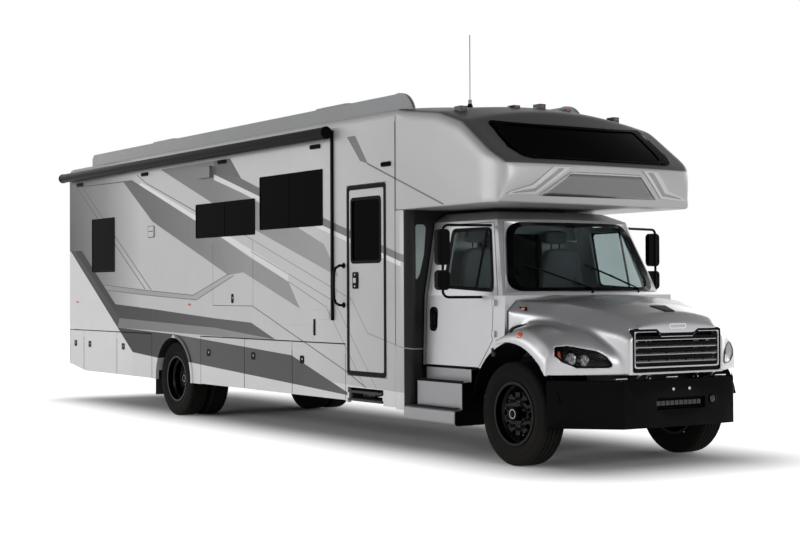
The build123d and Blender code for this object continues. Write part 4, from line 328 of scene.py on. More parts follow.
# Materials of the record's slots, and of the small pieces
def make_materials():
    """Every look, by its name: tone, metal, roughness, coat, spread and grain."""
    livery = livery_group("side_livery")
    material("silver_livery", (0.8,), metallic=0.3, rough=0.4, ior=1.25, spread=0.015,
             grain=900, bump=0.00006, dust=0.12, livery=livery)
    # The cap's livery, with painted shade of tone 0.36 on its crown
    material("cap_livery", (0.8,), metallic=0.35, rough=0.38, ior=1.3, spread=0.015,
             grain=900, bump=0.00006, livery=livery, crown=0.36)
    material("silver_paint", (0.70, 0.70, 0.71), metallic=0.8, rough=0.33, coat=0.3,
             spread=0.02, grain=900, bump=0.00006, dust=0.12)
    material("step_silver", (0.56, 0.56, 0.57), metallic=0.7, rough=0.4, spread=0.03,
             grain=700, bump=0.00008, dust=0.2)
    material("lamp_mix", (0.55, 0.04, 0.04), rough=0.15, coat=0.6, spread=0.03,
             along=((-5.9, (0.85, 0.32, 0.06)), (3.0, (0.03, 0.03, 0.03))))
    material("cell_glass", (0.20, 0.20, 0.21), metallic=0.6, rough=0.12, spread=0.05)
    # The corner panes' pale tone is a painted reflection
    material("pale_glass_painted_reflection", (0.62, 0.68, 0.67), rough=0.06, coat=0.5, spread=0.04)
    material("white_paint", (0.50, 0.505, 0.51), metallic=0.4, rough=0.4, coat=0.3, spread=0.03,
             grain=400)
    material("grey_paint", (0.40,), metallic=0.5, rough=0.35, coat=0.8, spread=0.02, grain=900)
    material("black_trim", (0.018,), rough=0.45, ior=1.14, spread=0.15, grain=1200, bump=0.0001)
    material("black_gloss", (0.006,), rough=0.14, ior=1.13, spread=0.1)
    material("black_rubber", (0.06,), rough=0.72, spread=0.15, grain=600, bump=0.0002)
    material("tyre_rubber", (0.05,), rough=0.85, ior=1.2, spread=0.16, grain=260, bump=0.0005,
             dust=0.12)
    material("wheel_black", (0.012,), rough=0.24, ior=1.2, spread=0.1)
    material("chassis_black", (0.06,), metallic=0.2, rough=0.55, spread=0.25, grain=60,
             bump=0.0003, dust=0.35)
    material("underbody_grey", (0.14,), metallic=0.3, rough=0.65, spread=0.25, grain=80,
             bump=0.0004, dust=0.3)
    material("cast_iron", (0.2,), metallic=0.6, rough=0.6, spread=0.2, grain=150, bump=0.0006)
    material("chrome", (0.86,), metallic=1.0, rough=0.09, spread=0.01)
    material("brushed_silver", (0.66,), metallic=0.9, rough=0.26, spread=0.03)
    material("tank_metal", (0.72,), metallic=0.95, rough=0.25, spread=0.05, grain=120)
    material("dark_glass", (0.010, 0.010, 0.012), rough=0.05, ior=1.06, spread=0.1)
    material("clear_glass", (0.74, 0.78, 0.78), rough=0.02, transmission=1.0, ior=1.12)
    material("lamp_lens", (0.82,), rough=0.04, transmission=1.0, ior=1.15)
    material("bright_glass", (0.85, 0.86, 0.88), metallic=0.5, rough=0.08, coat=0.6, spread=0.02)
    material("nut_metal", (0.12,), metallic=0.8, rough=0.25, spread=0.05)
    material("pale_paint", (0.80,), metallic=0.3, rough=0.32, coat=0.6, spread=0.02)
    material("amber_lens", (0.85, 0.32, 0.06), rough=0.12, coat=0.8, emission=0.05)
    material("seat_cloth", (0.46, 0.46, 0.47), rough=0.85, spread=0.12, grain=900, bump=0.0006)
    material("dash_plastic", (0.10,), rough=0.6, spread=0.1, grain=1500, bump=0.0002)
    material("roof_plastic", (0.68,), rough=0.5, spread=0.05, grain=500, bump=0.0002)


# The record's slot of each look that isn't named like its slot
SLOTS = {
    "black_gloss": "black_plastic", "black_trim": "black_plastic",
    "black_rubber": "black_plastic", "amber_lens": "lamp_lens", "bright_glass": "lamp_lens",
    "cell_glass": "lamp_lens", "chrome": "silver_paint", "brushed_silver": "silver_paint",
    "step_silver": "silver_paint", "nut_metal": "wheel_paint", "pale_paint": "white_paint",
    "roof_plastic": "white_paint", "pale_glass_painted_reflection": "dark_glass", "silver_livery": "coach_paint",
    "cap_livery": "coach_paint",
}

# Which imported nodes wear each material, by the start of their names
NODE_MATERIALS = (
    ("silver_livery", ("coach_wall_right", "coach_wall_left", "coach_skirts", "coach_end_walls",
                       "baggage_door", "cupboard_hatch", "entry_door", "slide_out",
                       "coach_roof")),
    ("silver_paint", ("hood", "cab_shell", "cab_door_right", "cab_door_left")),
    ("step_silver", ("cab_steps",)),
    ("cap_livery", ("coach_cap",)),
    ("white_paint", ("roof_fittings",)),
    ("dark_glass", ("coach_windows", "entry_door_glass")),
    ("clear_glass", ("windshield", "cab_door_glass")),
    ("black_gloss", ("front_bumper",)),
    ("black_trim", ("grille", "mirror", "awning")),
    ("dash_plastic", ("dashboard",)),
    ("seat_cloth", ("cab_seats",)),
    ("tyre_rubber", ("front_tyre", "rear_tyres")),
    ("wheel_black", ("front_wheel", "rear_wheels")),
    ("chassis_black", ("knuckle", "front_axle", "rear_axle", "leaf_springs", "frame_rails",
                       "drive_shaft", "rear_bumper")),
    ("cast_iron", ("engine", "radiator")),
    ("underbody_grey", ("coach_floor", "baggage_boxes", "entry_step")),
    ("tank_metal", ("tank_and_exhaust",)),
    ("lamp_mix", ("lamps",)),
    ("lamp_lens", ("headlamps",)),
)


def dress_nodes():
    """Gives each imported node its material, by the longest name that its own name starts with."""
    for name, node in NODES.items():
        fits = [(len(start), kind) for kind, starts in NODE_MATERIALS for start in starts
                if name.startswith(start)]
        kind = max(fits)[1]
        node.data.materials.clear()
        node.data.materials.append(MATERIALS[kind])


# Mesh building
def rounded(points, radius, steps=4):
    """A closed outline with each corner rounded."""
    result = []
    count = len(points)
    for number, corner in enumerate(points):
        here = Vector(corner)
        before = Vector(points[number - 1]) - here
        after = Vector(points[(number + 1) % count]) - here
        reach = min(radius, 0.45 * before.length, 0.45 * after.length)
        start = here + before.normalized() * reach
        end = here + after.normalized() * reach
        for step in range(steps + 1):
            t = step / steps
            result.append((1 - t) ** 2 * start + 2 * t * (1 - t) * here + t * t * end)
    return result


def oblong(low, high, radius, steps=4):
    """A rectangle with rounded corners, from its low and high corner."""
    return rounded([(low[0], low[1]), (high[0], low[1]), (high[0], high[1]), (low[0], high[1])],
                   radius, steps)


def pad(across, up, half_across, half_up, radius, steps=4):
    """A rectangle with rounded corners, from its middle and its half sizes."""
    low = (across - half_across, up - half_up)
    return oblong(low, (across + half_across, up + half_up), radius, steps)


def side_place(y):
    """Flat points are (x, z), at a place along y."""
    return lambda point: Vector((point[0], y, point[1]))


def front_place(x):
    """Flat points are (y, z), at a place along x."""
    return lambda point: Vector((x, point[0], point[1]))


def top_place(z):
    """Flat points are (x, y), at a height."""
    return lambda point: Vector((point[0], point[1], z))


# What an axis letter stands for: its direction, and how a flat point is placed along it
AXES = {
    "x": (Vector((1, 0, 0)), front_place),
    "y": (Vector((0, 1, 0)), side_place),
    "z": (Vector((0, 0, 1)), top_place),
}


def from_side(tree, x, z, side, start=1.5):
    """Where a level ray from a side of the vehicle meets a surface."""
    return tree.ray_cast(Vector((x, side * start, z)), Vector((0, -side, 0)))[0]


def from_front(tree, y, z, start=5.4):
    """Where a level ray from ahead meets a surface."""
    return tree.ray_cast(Vector((start, y, z)), BACKWARD)[0]


class Form:
    """A piece being built from prisms, rings, tubes, turned shapes and patches."""

    def __init__(self):
        self.mesh = bmesh.new()

    def loop(self, points):
        """New corners at some points."""
        return [self.mesh.verts.new(point) for point in points]

    def bridge(self, first, second, closed=True):
        """Four-cornered faces between two loops of as many corners."""
        count = len(first)
        for number in range(count if closed else count - 1):
            after = (number + 1) % count
            self.mesh.faces.new((first[number], first[after], second[after], second[number]))

    def skin(self, loops, closed=True):
        """Faces between each loop and the next."""
        for first, second in zip(loops, loops[1:]):
            self.bridge(first, second, closed)

    def prism(self, outline, axis, start, depth):
        """A flat outline at a place along an axis, drawn out along it."""
        along, placed = AXES[axis]
        place, depth = placed(start), along * depth
        low = self.loop([place(point) for point in outline])
        high = self.loop([place(point) + depth for point in outline])
        self.mesh.faces.new(low[::-1])
        self.mesh.faces.new(high)
        self.bridge(low, high)

    def ring(self, outer, inner, axis, start, depth):
        """What lies between two outlines of as many points, drawn out along an axis."""
        along, placed = AXES[axis]
        place, depth = placed(start), along * depth
        loops = [self.loop([place(point) for point in outer]),
                 self.loop([place(point) + depth for point in outer]),
                 self.loop([place(point) + depth for point in inner]),
                 self.loop([place(point) for point in inner])]
        self.skin(loops + loops[:1])

    def tube(self, points, radius, sides=8, flat=1.0):
        """A round or flattened rod along a run of points."""
        points = [Vector(point) for point in points]
        loops = []
        level = None
        for number, point in enumerate(points):
            before = points[max(number - 1, 0)]
            after = points[min(number + 1, len(points) - 1)]
            along = (after - before).normalized()
            if level is None:
                level = along.orthogonal().normalized()
            level = (level - along * level.dot(along)).normalized()
            rise = along.cross(level)
            loops.append(self.loop([
                point + radius * (cos(2 * pi * side / sides) * level
                                  + flat * sin(2 * pi * side / sides) * rise)
                for side in range(sides)]))
        self.skin(loops)
        self.mesh.faces.new(loops[0][::-1])
        self.mesh.faces.new(loops[-1])

    def lathe(self, profile, centre, axis, steps=32, ends=True):
        """A shape turned about an axis, from its (along, radius) points."""
        axis = Vector(axis).normalized()
        level = axis.orthogonal().normalized()
        rise = axis.cross(level)
        loops = []
        for along, radius in profile:
            loops.append(self.loop([
                Vector(centre) + axis * along + radius * (cos(2 * pi * step / steps) * level
                                                          + sin(2 * pi * step / steps) * rise)
                for step in range(steps)]))
        self.skin(loops)
        if ends:
            self.mesh.faces.new(loops[0][::-1])
            self.mesh.faces.new(loops[-1])

    def patch(self, corners, tree, place, way, lift, counts=(8, 6)):
        """A four-cornered patch laid on a surface that is met along a direction."""
        a, b, c, d = [Vector(corner) for corner in corners]
        rows = []
        for i in range(counts[0] + 1):
            u = i / counts[0]
            row = []
            for j in range(counts[1] + 1):
                v = j / counts[1]
                spot = (a * (1 - u) + b * u) * (1 - v) + (d * (1 - u) + c * u) * v
                found, normal, face, reach = tree.ray_cast(place(spot), Vector(way))
                if normal.dot(Vector(way)) > 0:
                    normal = -normal
                row.append(self.mesh.verts.new(found - Vector(way) * lift))
            rows.append(row)
        self.skin(rows, closed=False)

    def finish(self, name, body, look, slot=None, bevel=0.002, angle=35, thick=0.0,
               subdivide=0):
        """Turns what was built into a piece."""
        bmesh.ops.remove_doubles(self.mesh, verts=self.mesh.verts, dist=0.00002)
        bmesh.ops.recalc_face_normals(self.mesh, faces=self.mesh.faces)
        mesh = bpy.data.meshes.new(name)
        self.mesh.to_mesh(mesh)
        self.mesh.free()
        return add_piece(name, mesh, body, look, slot, bevel, angle, thick, subdivide)


def bevelled(piece, width, angle, segments):
    """Rounds the edges where faces meet at more than an angle."""
    edge = piece.modifiers.new("edge", "BEVEL")
    edge.width = width
    edge.segments = segments
    edge.limit_method = "ANGLE"
    edge.angle_limit = radians(angle)
    edge.harden_normals = True


def add_piece(name, mesh, body, look, slot=None, bevel=0.0, angle=35, thick=0.0, subdivide=0):
    """Links a piece, gives it its material and body, and rounds its edges. Its slot is worked out
    but not kept.
    """
    slot = slot or SLOTS.get(look, look)
    piece = bpy.data.objects.new(name, mesh)
    bpy.context.scene.collection.objects.link(piece)
    mesh.materials.clear()
    mesh.materials.append(MATERIALS[look])
    mesh.shade_smooth()
    mesh.set_sharp_from_angle(angle=radians(angle))
    if thick:
        sheet = piece.modifiers.new("thickness", "SOLIDIFY")
        sheet.thickness = thick
        sheet.offset = 0
    if subdivide:
        smooth = piece.modifiers.new("smooth", "SUBSURF")
        smooth.levels = smooth.render_levels = subdivide
    if bevel:
        bevelled(piece, bevel, angle, 2)
    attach(piece, body)
    return piece


def surface(*meshes):
    """The surface of some meshes, to lay pieces on."""
    places, faces = [], []
    for mesh in meshes:
        start = len(places)
        places += [corner.co.copy() for corner in mesh.vertices]
        faces += [[start + number for number in face.vertices] for face in mesh.polygons]
    return BVHTree.FromPolygons(places, faces)


def tree_of(*names):
    """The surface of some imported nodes."""
    return surface(*[NODES[name].data for name in names])


def settled(piece):
    """A piece's mesh with its modifiers applied."""
    seen = piece.evaluated_get(bpy.context.evaluated_depsgraph_get())
    return bpy.data.meshes.new_from_object(seen)


def soft_skin(node, voxel, softness, iterations, ratio):
    """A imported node's form in one skin, drawn smooth by the softness of each place."""
    source = NODES[node].data.copy()
    rough = bpy.data.objects.new(f"{node}_rough", source)
    bpy.context.scene.collection.objects.link(rough)
    remesh = rough.modifiers.new("voxels", "REMESH")
    remesh.mode = "VOXEL"
    remesh.voxel_size = voxel
    mesh = settled(rough)
    bpy.data.objects.remove(rough)
    skin = bpy.data.objects.new(f"{node}_soft", mesh)
    bpy.context.scene.collection.objects.link(skin)
    group = skin.vertex_groups.new(name="soft")
    for corner in mesh.vertices:
        weight = max(0.0, min(1.0, softness(*corner.co)))
        if weight:
            group.add([corner.index], weight, "REPLACE")
    smooth = skin.modifiers.new("smooth", "SMOOTH")
    smooth.factor = 0.6
    smooth.iterations = iterations
    smooth.vertex_group = "soft"
    fewer = skin.modifiers.new("fewer", "DECIMATE")
    fewer.ratio = ratio
    mesh = settled(skin)
    bpy.data.objects.remove(skin)
    return mesh


# Hood. Outlines are (y, z) in metres on the right half, seen from the front
LAMP_OUTLINE = ((1.125, 1.056), (1.103, 1.134), (1.014, 1.141), (0.810, 1.094), (0.740, 1.047),
                (0.694, 0.961), (0.735, 0.945), (0.963, 0.946), (1.078, 1.001))
GRILLE_LOW = 0.925
GRILLE_HIGH = 1.292
GRILLE_HALF = 0.545
GRILLE_BAR_HALF = 0.505
GRILLE_PITCH = 0.068
HOOD_VOXEL = 0.0085


def edge_distance(point, outline):
    """How far a flat point is from a closed outline."""
    nearest = 1e9
    for start, end in zip(outline, outline[1:] + outline[:1]):
        run = Vector(end) - Vector(start)
        share = max(0, min(1, (Vector(point) - Vector(start)).dot(run) / run.length_squared))
        nearest = min(nearest, (Vector(start) + run * share - Vector(point)).length)
    return nearest


def make_hood():
    """The hood and fenders in one skin, with soft valleys and crowns between them."""
    low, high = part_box("hood")
    grille = ((-GRILLE_HALF, GRILLE_LOW), (GRILLE_HALF, GRILLE_LOW), (GRILLE_HALF, GRILLE_HIGH),
              (-GRILLE_HALF, GRILLE_HIGH))

    def softness(x, y, z):
        near = min(x - low.x, (z - low.z) * 0.6)
        if abs(y) > 0.45:
            near = min(near, abs(hypot(x - FRONT_AXLE_X, z - TYRE_RADIUS) - 0.67))
            if x > 5.38:
                near = min(near, edge_distance((abs(y), z), LAMP_OUTLINE))
        if x > 5.93:
            near = min(near, edge_distance((y, z), grille))
        return (near - 0.012) / 0.045

    mesh = soft_skin("hood", HOOD_VOXEL, softness, 90, 0.45)
    hood = add_piece("hood_skin", mesh, "hood", "silver_paint", angle=55)
    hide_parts("hood")


def make_hood_details():
    """What the hood carries: vent, grille, blank badge place, latches and small lamps."""
    tree = tree_of("hood")
    vent = Form()
    vent.patch(((5.74, -0.10), (5.915, -0.06), (5.915, 0.06), (5.74, 0.10)), tree,
               top_place(2.0), DOWNWARD, 0.003, (4, 4))
    vent.finish("hood_vent", "hood", "black_trim", thick=0.006)
    # Bare oval place on the strip above the grille, and its bright rim
    front_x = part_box("hood")[1].x
    badge = Form()
    badge.ring(oblong((-0.105, 1.292), (0.105, 1.338), 0.022, 6),
               oblong((-0.095, 1.300), (0.095, 1.330), 0.015, 6), "x", front_x - 0.012, 0.014)
    badge.finish("badge_rim", "hood", "chrome", bevel=0.001)
    plate = Form()
    plate.prism(oblong((-0.097, 1.299), (0.097, 1.331), 0.015, 6), "x", front_x - 0.012, 0.010)
    plate.finish("badge_plate", "hood", "brushed_silver", bevel=0.002)
    # Grille: a dark seam around it, broad silver bars and a dark core behind
    seam = Form()
    notch = [(-GRILLE_HALF, GRILLE_LOW), (GRILLE_HALF, GRILLE_LOW), (GRILLE_HALF, GRILLE_HIGH),
             (0.46 * GRILLE_HALF, GRILLE_HIGH), (0.40 * GRILLE_HALF, GRILLE_HIGH - 0.045),
             (-0.40 * GRILLE_HALF, GRILLE_HIGH - 0.045), (-0.46 * GRILLE_HALF, GRILLE_HIGH),
             (-GRILLE_HALF, GRILLE_HIGH)]

    def around(share, drop, lift, radius):
        """The grille's outline, made narrower, with its top lowered and its bottom raised."""
        return rounded([(y * share, z - drop if z > GRILLE_LOW else z + lift)
                        for y, z in notch], radius)

    seam.ring(around(1.008, -0.006, -0.006, 0.05), around(0.982, 0.008, 0.008, 0.042),
              "x", front_x - 0.022, 0.021)
    seam.finish("grille_seam", "hood", "black_gloss", bevel=0.003)
    frame_ring = Form()
    frame_ring.ring(around(0.982, 0.008, 0.008, 0.042), around(0.945, 0.030, 0.024, 0.03),
                    "x", front_x - 0.03, 0.026)
    frame_ring.finish("grille_frame", "hood", "silver_paint", bevel=0.005)
    bars = Form()
    for number in range(4):
        z = 0.998 + GRILLE_PITCH * number
        bars.prism([(front_x - 0.058, z - 0.020), (front_x - 0.014, z - 0.017),
                    (front_x - 0.010, z - 0.010), (front_x - 0.026, z + 0.014),
                    (front_x - 0.058, z + 0.020)], "y", -GRILLE_BAR_HALF, 2 * GRILLE_BAR_HALF)
    bars.finish("grille_bars", "hood", "brushed_silver", bevel=0.003)
    core = Form()
    core.prism(oblong((-0.52, GRILLE_LOW + 0.02), (0.52, GRILLE_HIGH - 0.01), 0.03),
               "x", front_x - 0.10, 0.008)
    for number in range(5):
        z = 0.965 + GRILLE_PITCH * number
        core.prism([(front_x - 0.092, z - 0.012), (front_x - 0.075, z - 0.008),
                    (front_x - 0.075, z + 0.008), (front_x - 0.092, z + 0.012)],
                   "y", -0.34, 0.68)
    core.finish("grille_core", "hood", "black_trim", bevel=0.0015)
    tabs = Form()
    for y in (-0.455, -0.30, 0.30, 0.455):
        for number in range(4):
            z = 0.968 + GRILLE_PITCH * number
            tabs.prism(oblong((y - 0.028, z - 0.012), (y + 0.028, z + 0.010), 0.006),
                       "x", front_x - 0.088, 0.018)
    tabs.finish("grille_tabs", "hood", "brushed_silver", bevel=0.002)
    lenses = tree_of("headlamps")
    for side_name, side in SIDES:
        make_headlamp(side_name, side, tree, lenses)
        latch = Form()
        latch.tube([(4.80, side * 1.202, 1.03), (4.785, side * 1.215, 1.075),
                    (4.765, side * 1.2, 1.10)], 0.014, flat=0.6)
        latch.lathe([(-0.012, 0.022), (0.012, 0.022)], (4.795, side * 1.208, 1.045), (0, 1, 0), 16)
        latch.finish(f"hood_latch_{side_name}", "chassis", "black_rubber", bevel=0.002)
        lamp = Form()
        spot, normal = tree.ray_cast(Vector((5.16, side * 1.40, 1.235)), Vector((0, -side, 0)))[:2]
        if normal.y * side < 0:
            normal = -normal
        lamp.lathe([(-0.01, 0.034), (0.004, 0.034), (0.006, 0.028), (0.010, 0.022),
                    (0.012, 0.010)], spot, normal, 20)
        lamp.finish(f"fender_lamp_{side_name}", "hood", "amber_lens", bevel=0.0)
        marker = Form()
        spot = from_side(tree, 4.93, 1.475, side, 1.6) or Vector((4.93, side * 1.03, 1.475))
        marker.prism(pad(spot.x, spot.z, 0.055, 0.018, 0.015), "y", spot.y - side * 0.01,
                     side * 0.018)
        marker.finish(f"hood_marker_{side_name}", "hood", "black_gloss", bevel=0.003)
        glow = Form()
        glow.prism(oblong((spot.x - 0.01, spot.z - 0.010), (spot.x + 0.04, spot.z + 0.010),
                          0.008), "y", spot.y + side * 0.006, side * 0.006)
        glow.finish(f"hood_marker_lens_{side_name}", "hood", "amber_lens", bevel=0.001)


def make_fender_liners():
    """The dark lining inside each front wheel arch."""
    for side_name, side in SIDES:
        liner = Form()
        loops = []
        for y, radius in ((0.70, 0.655), (1.02, 0.655), (1.12, 0.669)):
            loops.append(liner.loop([
                (FRONT_AXLE_X + radius * cos(radians(turn)), side * y,
                 TYRE_RADIUS + radius * sin(radians(turn))) for turn in range(12, 174, 6)]))
        liner.skin(loops, closed=False)
        liner.finish(f"fender_liner_{side_name}", "hood", "black_trim", thick=0.006)


def make_headlamp(side_name, side, tree, lenses):
    """What shows behind the headlamp's lens: a dark housing, two bowls and an amber lamp."""
    outline = [(side * y, z) for y, z in LAMP_OUTLINE]
    middle = Vector((sum(y for y, z in outline) / len(outline),
                     sum(z for y, z in outline) / len(outline)))
    housing = Form()
    small = [middle + (Vector(point) - middle) * 0.93 for point in outline]
    housing.prism(rounded(small, 0.02), "x", 5.44, 0.06)
    housing.finish(f"lamp_housing_{side_name}", "hood", "black_gloss", bevel=0.004)
    rim = Form()
    outer = rounded([middle + (Vector(point) - middle) * 1.0 for point in outline], 0.025)
    inner = rounded([middle + (Vector(point) - middle) * 0.91 for point in outline], 0.022)
    loops = []
    for outline_points, lift in ((outer, 0.004), (inner, 0.004)):
        loop = []
        for point in outline_points:
            beyond = point + (point - middle) * 0.02
            spot = (from_front(lenses, point.x, point.y, 6.2)
                    or from_front(tree, beyond.x, beyond.y, 6.2))
            loop.append(rim.mesh.verts.new(spot + Vector((lift, side * 0.001, 0.001))))
        loops.append(loop)
    rim.skin(loops)
    rim.finish(f"lamp_rim_{side_name}", "hood", "black_gloss", thick=0.006)
    for number, (y, z, x, radius) in enumerate(((0.905, 1.018, 5.62, 0.052),
                                                (0.815, 1.005, 5.70, 0.046))):
        bowl = Form()
        bowl.lathe([(-0.05, 0.008), (-0.045, 0.4 * radius), (-0.025, 0.75 * radius),
                    (0.0, radius), (0.004, radius * 1.06), (-0.05, radius * 1.06)],
                   (x - 0.06, side * y, z), (1, side * 0.25, 0), 28, ends=False)
        bowl.finish(f"lamp_bowl_{side_name}_{number + 1}", "hood", "chrome", "lamp_lens", bevel=0)
        eye = Form()
        eye.lathe([(0.0, 0.001), (0.0, 0.022), (0.010, 0.019), (0.016, 0.010), (0.018, 0.002)],
                  (x - 0.085, side * y, z), (1, side * 0.25, 0), 20)
        eye.finish(f"lamp_eye_{side_name}_{number + 1}", "hood", "bright_glass", bevel=0)
    turn = Form()
    turn.prism(rounded([(side * 1.0, 0.985), (side * 1.045, 1.0), (side * 1.065, 1.085),
                        (side * 1.02, 1.09)], 0.012), "x", 5.50, 0.05)
    turn.finish(f"lamp_turn_{side_name}", "hood", "amber_lens", bevel=0.004)


# Wheels and tyres. A tyre's side runs from its bead out to its shoulder, as (across, radius)
TYRE_SIDE = ((0.098, 0.305), (0.112, 0.315), (0.121, 0.345), (0.1255, 0.370), (0.1275, 0.372),
             (0.1275, 0.400), (0.1255, 0.402), (0.1245, 0.430), (0.1225, 0.446),
             (0.1235, 0.449), (0.118, 0.468), (0.110, 0.481), (0.102, 0.4865))
TYRE_WIDTH = 0.255
TREAD_RADIUS = 0.489
GROOVE_RADIUS = 0.476
GROOVE_PLACES = (-0.068, -0.024, 0.024, 0.068)
TYRE_STEPS = 84
NUT_CIRCLE = 0.1429
NUT_COUNT = 10


def make_wheels():
    """Grooved tyres in place of the plain ones, wheel nuts, hub caps and valves."""
    tread = []
    for x in GROOVE_PLACES:
        tread += [(x - 0.0062, TREAD_RADIUS), (x - 0.0045, GROOVE_RADIUS),
                  (x + 0.0045, GROOVE_RADIUS), (x + 0.0062, TREAD_RADIUS)]
    profile = [(-x, radius) for x, radius in TYRE_SIDE] + tread + list(TYRE_SIDE[::-1])
    for side_name, side in SIDES:
        low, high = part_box(f"front_tyre_{side_name}")
        tyre = Form()
        tyre.lathe(profile, (FRONT_AXLE_X, (low.y + high.y) / 2, TYRE_RADIUS), (0, 1, 0),
                   TYRE_STEPS, ends=False)
        tyre.finish(f"tyre_front_{side_name}", f"front_wheel_{side_name}", "tyre_rubber",
                    bevel=0, angle=28)
        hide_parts(f"front_tyre_{side_name}")
        low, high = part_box(f"rear_tyres_{side_name}")
        pair = Form()
        for y in (low.y + TYRE_WIDTH / 2, high.y - TYRE_WIDTH / 2):
            pair.lathe(profile, (REAR_AXLE_X, y, TYRE_RADIUS), (0, 1, 0), TYRE_STEPS, ends=False)
        pair.finish(f"tyres_rear_{side_name}", f"rear_wheels_{side_name}", "tyre_rubber",
                    bevel=0, angle=28)
        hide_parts(f"rear_tyres_{side_name}")
        for end, axle_x, body in (("front", FRONT_AXLE_X, f"front_wheel_{side_name}"),
                                  ("rear", REAR_AXLE_X, f"rear_wheels_{side_name}")):
            tree = tree_of(body)
            nuts = Form()
            for number in range(NUT_COUNT):
                turn = 2 * pi * (number + 0.5) / NUT_COUNT
                found = from_side(tree, axle_x + NUT_CIRCLE * cos(turn),
                                  TYRE_RADIUS + NUT_CIRCLE * sin(turn), side, 1.6)
                nuts.lathe([(-0.004, 0.024), (0.004, 0.024), (0.006, 0.0185), (0.026, 0.0185),
                            (0.030, 0.013), (0.042, 0.011), (0.044, 0.006)], found,
                           (0, side, 0), 6)
            nuts.finish(f"wheel_nuts_{end}_{side_name}", body, "nut_metal", bevel=0.001)
            nose = from_side(tree, axle_x + 0.03, TYRE_RADIUS + 0.03, side, 1.6)
            cap = Form()
            cap.lathe([(-0.012, 0.072), (0.004, 0.072), (0.010, 0.066), (0.012, 0.050),
                       (0.007, 0.046), (0.007, 0.030), (0.013, 0.026), (0.016, 0.014)],
                      (axle_x, nose.y, TYRE_RADIUS), (0, side, 0), 32)
            cap.finish(f"hub_cap_{end}_{side_name}", body, "black_gloss", "wheel_paint",
                       bevel=0.001)
            band = Form()
            band.lathe([(0.0085, 0.0445), (0.0105, 0.0445), (0.0105, 0.0385), (0.0085, 0.0385)],
                       (axle_x, nose.y, TYRE_RADIUS), (0, side, 0), 32, ends=False)
            band.finish(f"hub_ring_{end}_{side_name}", body, "brushed_silver", "wheel_paint",
                        bevel=0.0)
            stem = Form()
            stem.tube([(axle_x + 0.225, side * (abs(nose.y) - 0.10), TYRE_RADIUS),
                       (axle_x + 0.215, side * (abs(nose.y) - 0.07), TYRE_RADIUS)], 0.006)
            stem.finish(f"valve_{end}_{side_name}", body, "brushed_silver", "wheel_paint",
                        bevel=0.0)


# Overcab cap
CAP_VOXEL = 0.014
CAP_PANE_HALF = ((0.0, 3.285), (0.50, 3.287), (0.985, 3.312), (0.99, 3.19), (0.985, 3.03),
                 (0.96, 2.935), (0.87, 2.906), (0.0, 2.901))


# The plates beside the plaque under the cap, and the strips let into them, by their corners
WING_PLATES = (((0.455, 2.832), (0.80, 2.572), (0.865, 2.655), (0.66, 2.834)),
               ((0.80, 2.572), (1.16, 2.553), (1.10, 2.586), (0.865, 2.655)))
WING_INLAYS = (((0.535, 2.815), (0.815, 2.592), (0.835, 2.622), (0.60, 2.817)),
               ((0.815, 2.592), (1.09, 2.568), (1.06, 2.582), (0.835, 2.622)))


def make_cap():
    """The over-cab cap in one smooth skin, its window's dark edge, its plaque and its wings."""
    windows = tree_of("coach_windows")

    def softness(x, y, z):
        glass = windows.find_nearest(Vector((x, y, z)))[3]
        return min((glass - 0.02) / 0.06, (x - 3.26) / 0.15, (z - 2.535) / 0.05)

    mesh = soft_skin("coach_cap", CAP_VOXEL, softness, 110, 0.35)
    tree = surface(mesh)
    skin = add_piece("cap_skin", mesh, "chassis", "cap_livery", angle=60)
    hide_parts("coach_cap")
    # A dark edge that widens the wrapped window to its rounded outline
    outline = list(CAP_PANE_HALF) + [(-y, z) for y, z in CAP_PANE_HALF[-2:0:-1]]
    outline = rounded(outline, 0.045, 5)
    spots = [start + (end - start) * step / 4
             for start, end in zip(outline, outline[1:] + outline[:1]) for step in range(4)]
    both = surface(mesh, NODES["coach_windows"].data)
    edge = Form()
    middle = Vector((0, 3.09))

    def met(spot):
        """The cap's face straight behind a spot, past the slit around the glass."""
        for nudge in ((0, 0), (0, -0.012), (0, 0.012), (-0.012, 0), (0.012, 0), (0, -0.025),
                      (0, 0.025)):
            place = spot + Vector(nudge)
            found = from_front(both, *place)
            if found and found.x > 4.2:
                return Vector((found.x + 0.007, spot.x, spot.y + 0.004))
        return None

    loops = []
    for scale in (1.0, 0.965, 0.93, 0.895, 0.86):
        laid = [met(middle + (spot - middle) * scale) for spot in spots]
        laid = [place or laid[number - 1] for number, place in enumerate(laid)]
        loops.append(edge.loop(laid))
    edge.skin(loops)
    edge.finish("cap_window_edge", "chassis", "dark_glass", thick=0.008)
    plaque = Form()
    plaque.patch(((-0.735, 2.556), (0.735, 2.556), (0.455, 2.765), (-0.455, 2.765)), tree,
                 front_place(5.4), BACKWARD, 0.006, (24, 6))
    plaque.finish("cap_plaque", "chassis", "grey_paint", thick=0.008, bevel=0.0)
    rim = Form()
    for ends in (((-0.745, 2.552), (-0.445, 2.772)), ((-0.445, 2.772), (0.445, 2.772)),
                 ((0.445, 2.772), (0.745, 2.552))):
        (ay, az), (by, bz) = ends
        rim.patch(((ay, az), (by, bz), (by, bz + 0.012), (ay, az + 0.012)), tree,
                  front_place(5.4), BACKWARD, 0.009, (16, 1))
    rim.finish("cap_plaque_rim", "chassis", "brushed_silver", thick=0.006)
    for side_name, side in SIDES:
        plate = Form()
        for corners in WING_PLATES:
            plate.patch([(side * y, z) for y, z in corners], tree, front_place(5.4), BACKWARD,
                        0.008, (10, 6))
        plate.finish(f"cap_wing_{side_name}", "chassis", "pale_paint", thick=0.008)
        inlay = Form()
        for corners in WING_INLAYS:
            inlay.patch([(side * y, z) for y, z in corners], tree, front_place(5.4), BACKWARD,
                        0.013, (10, 4))
        inlay.finish(f"cap_wing_inlay_{side_name}", "chassis", "step_silver", thick=0.004)


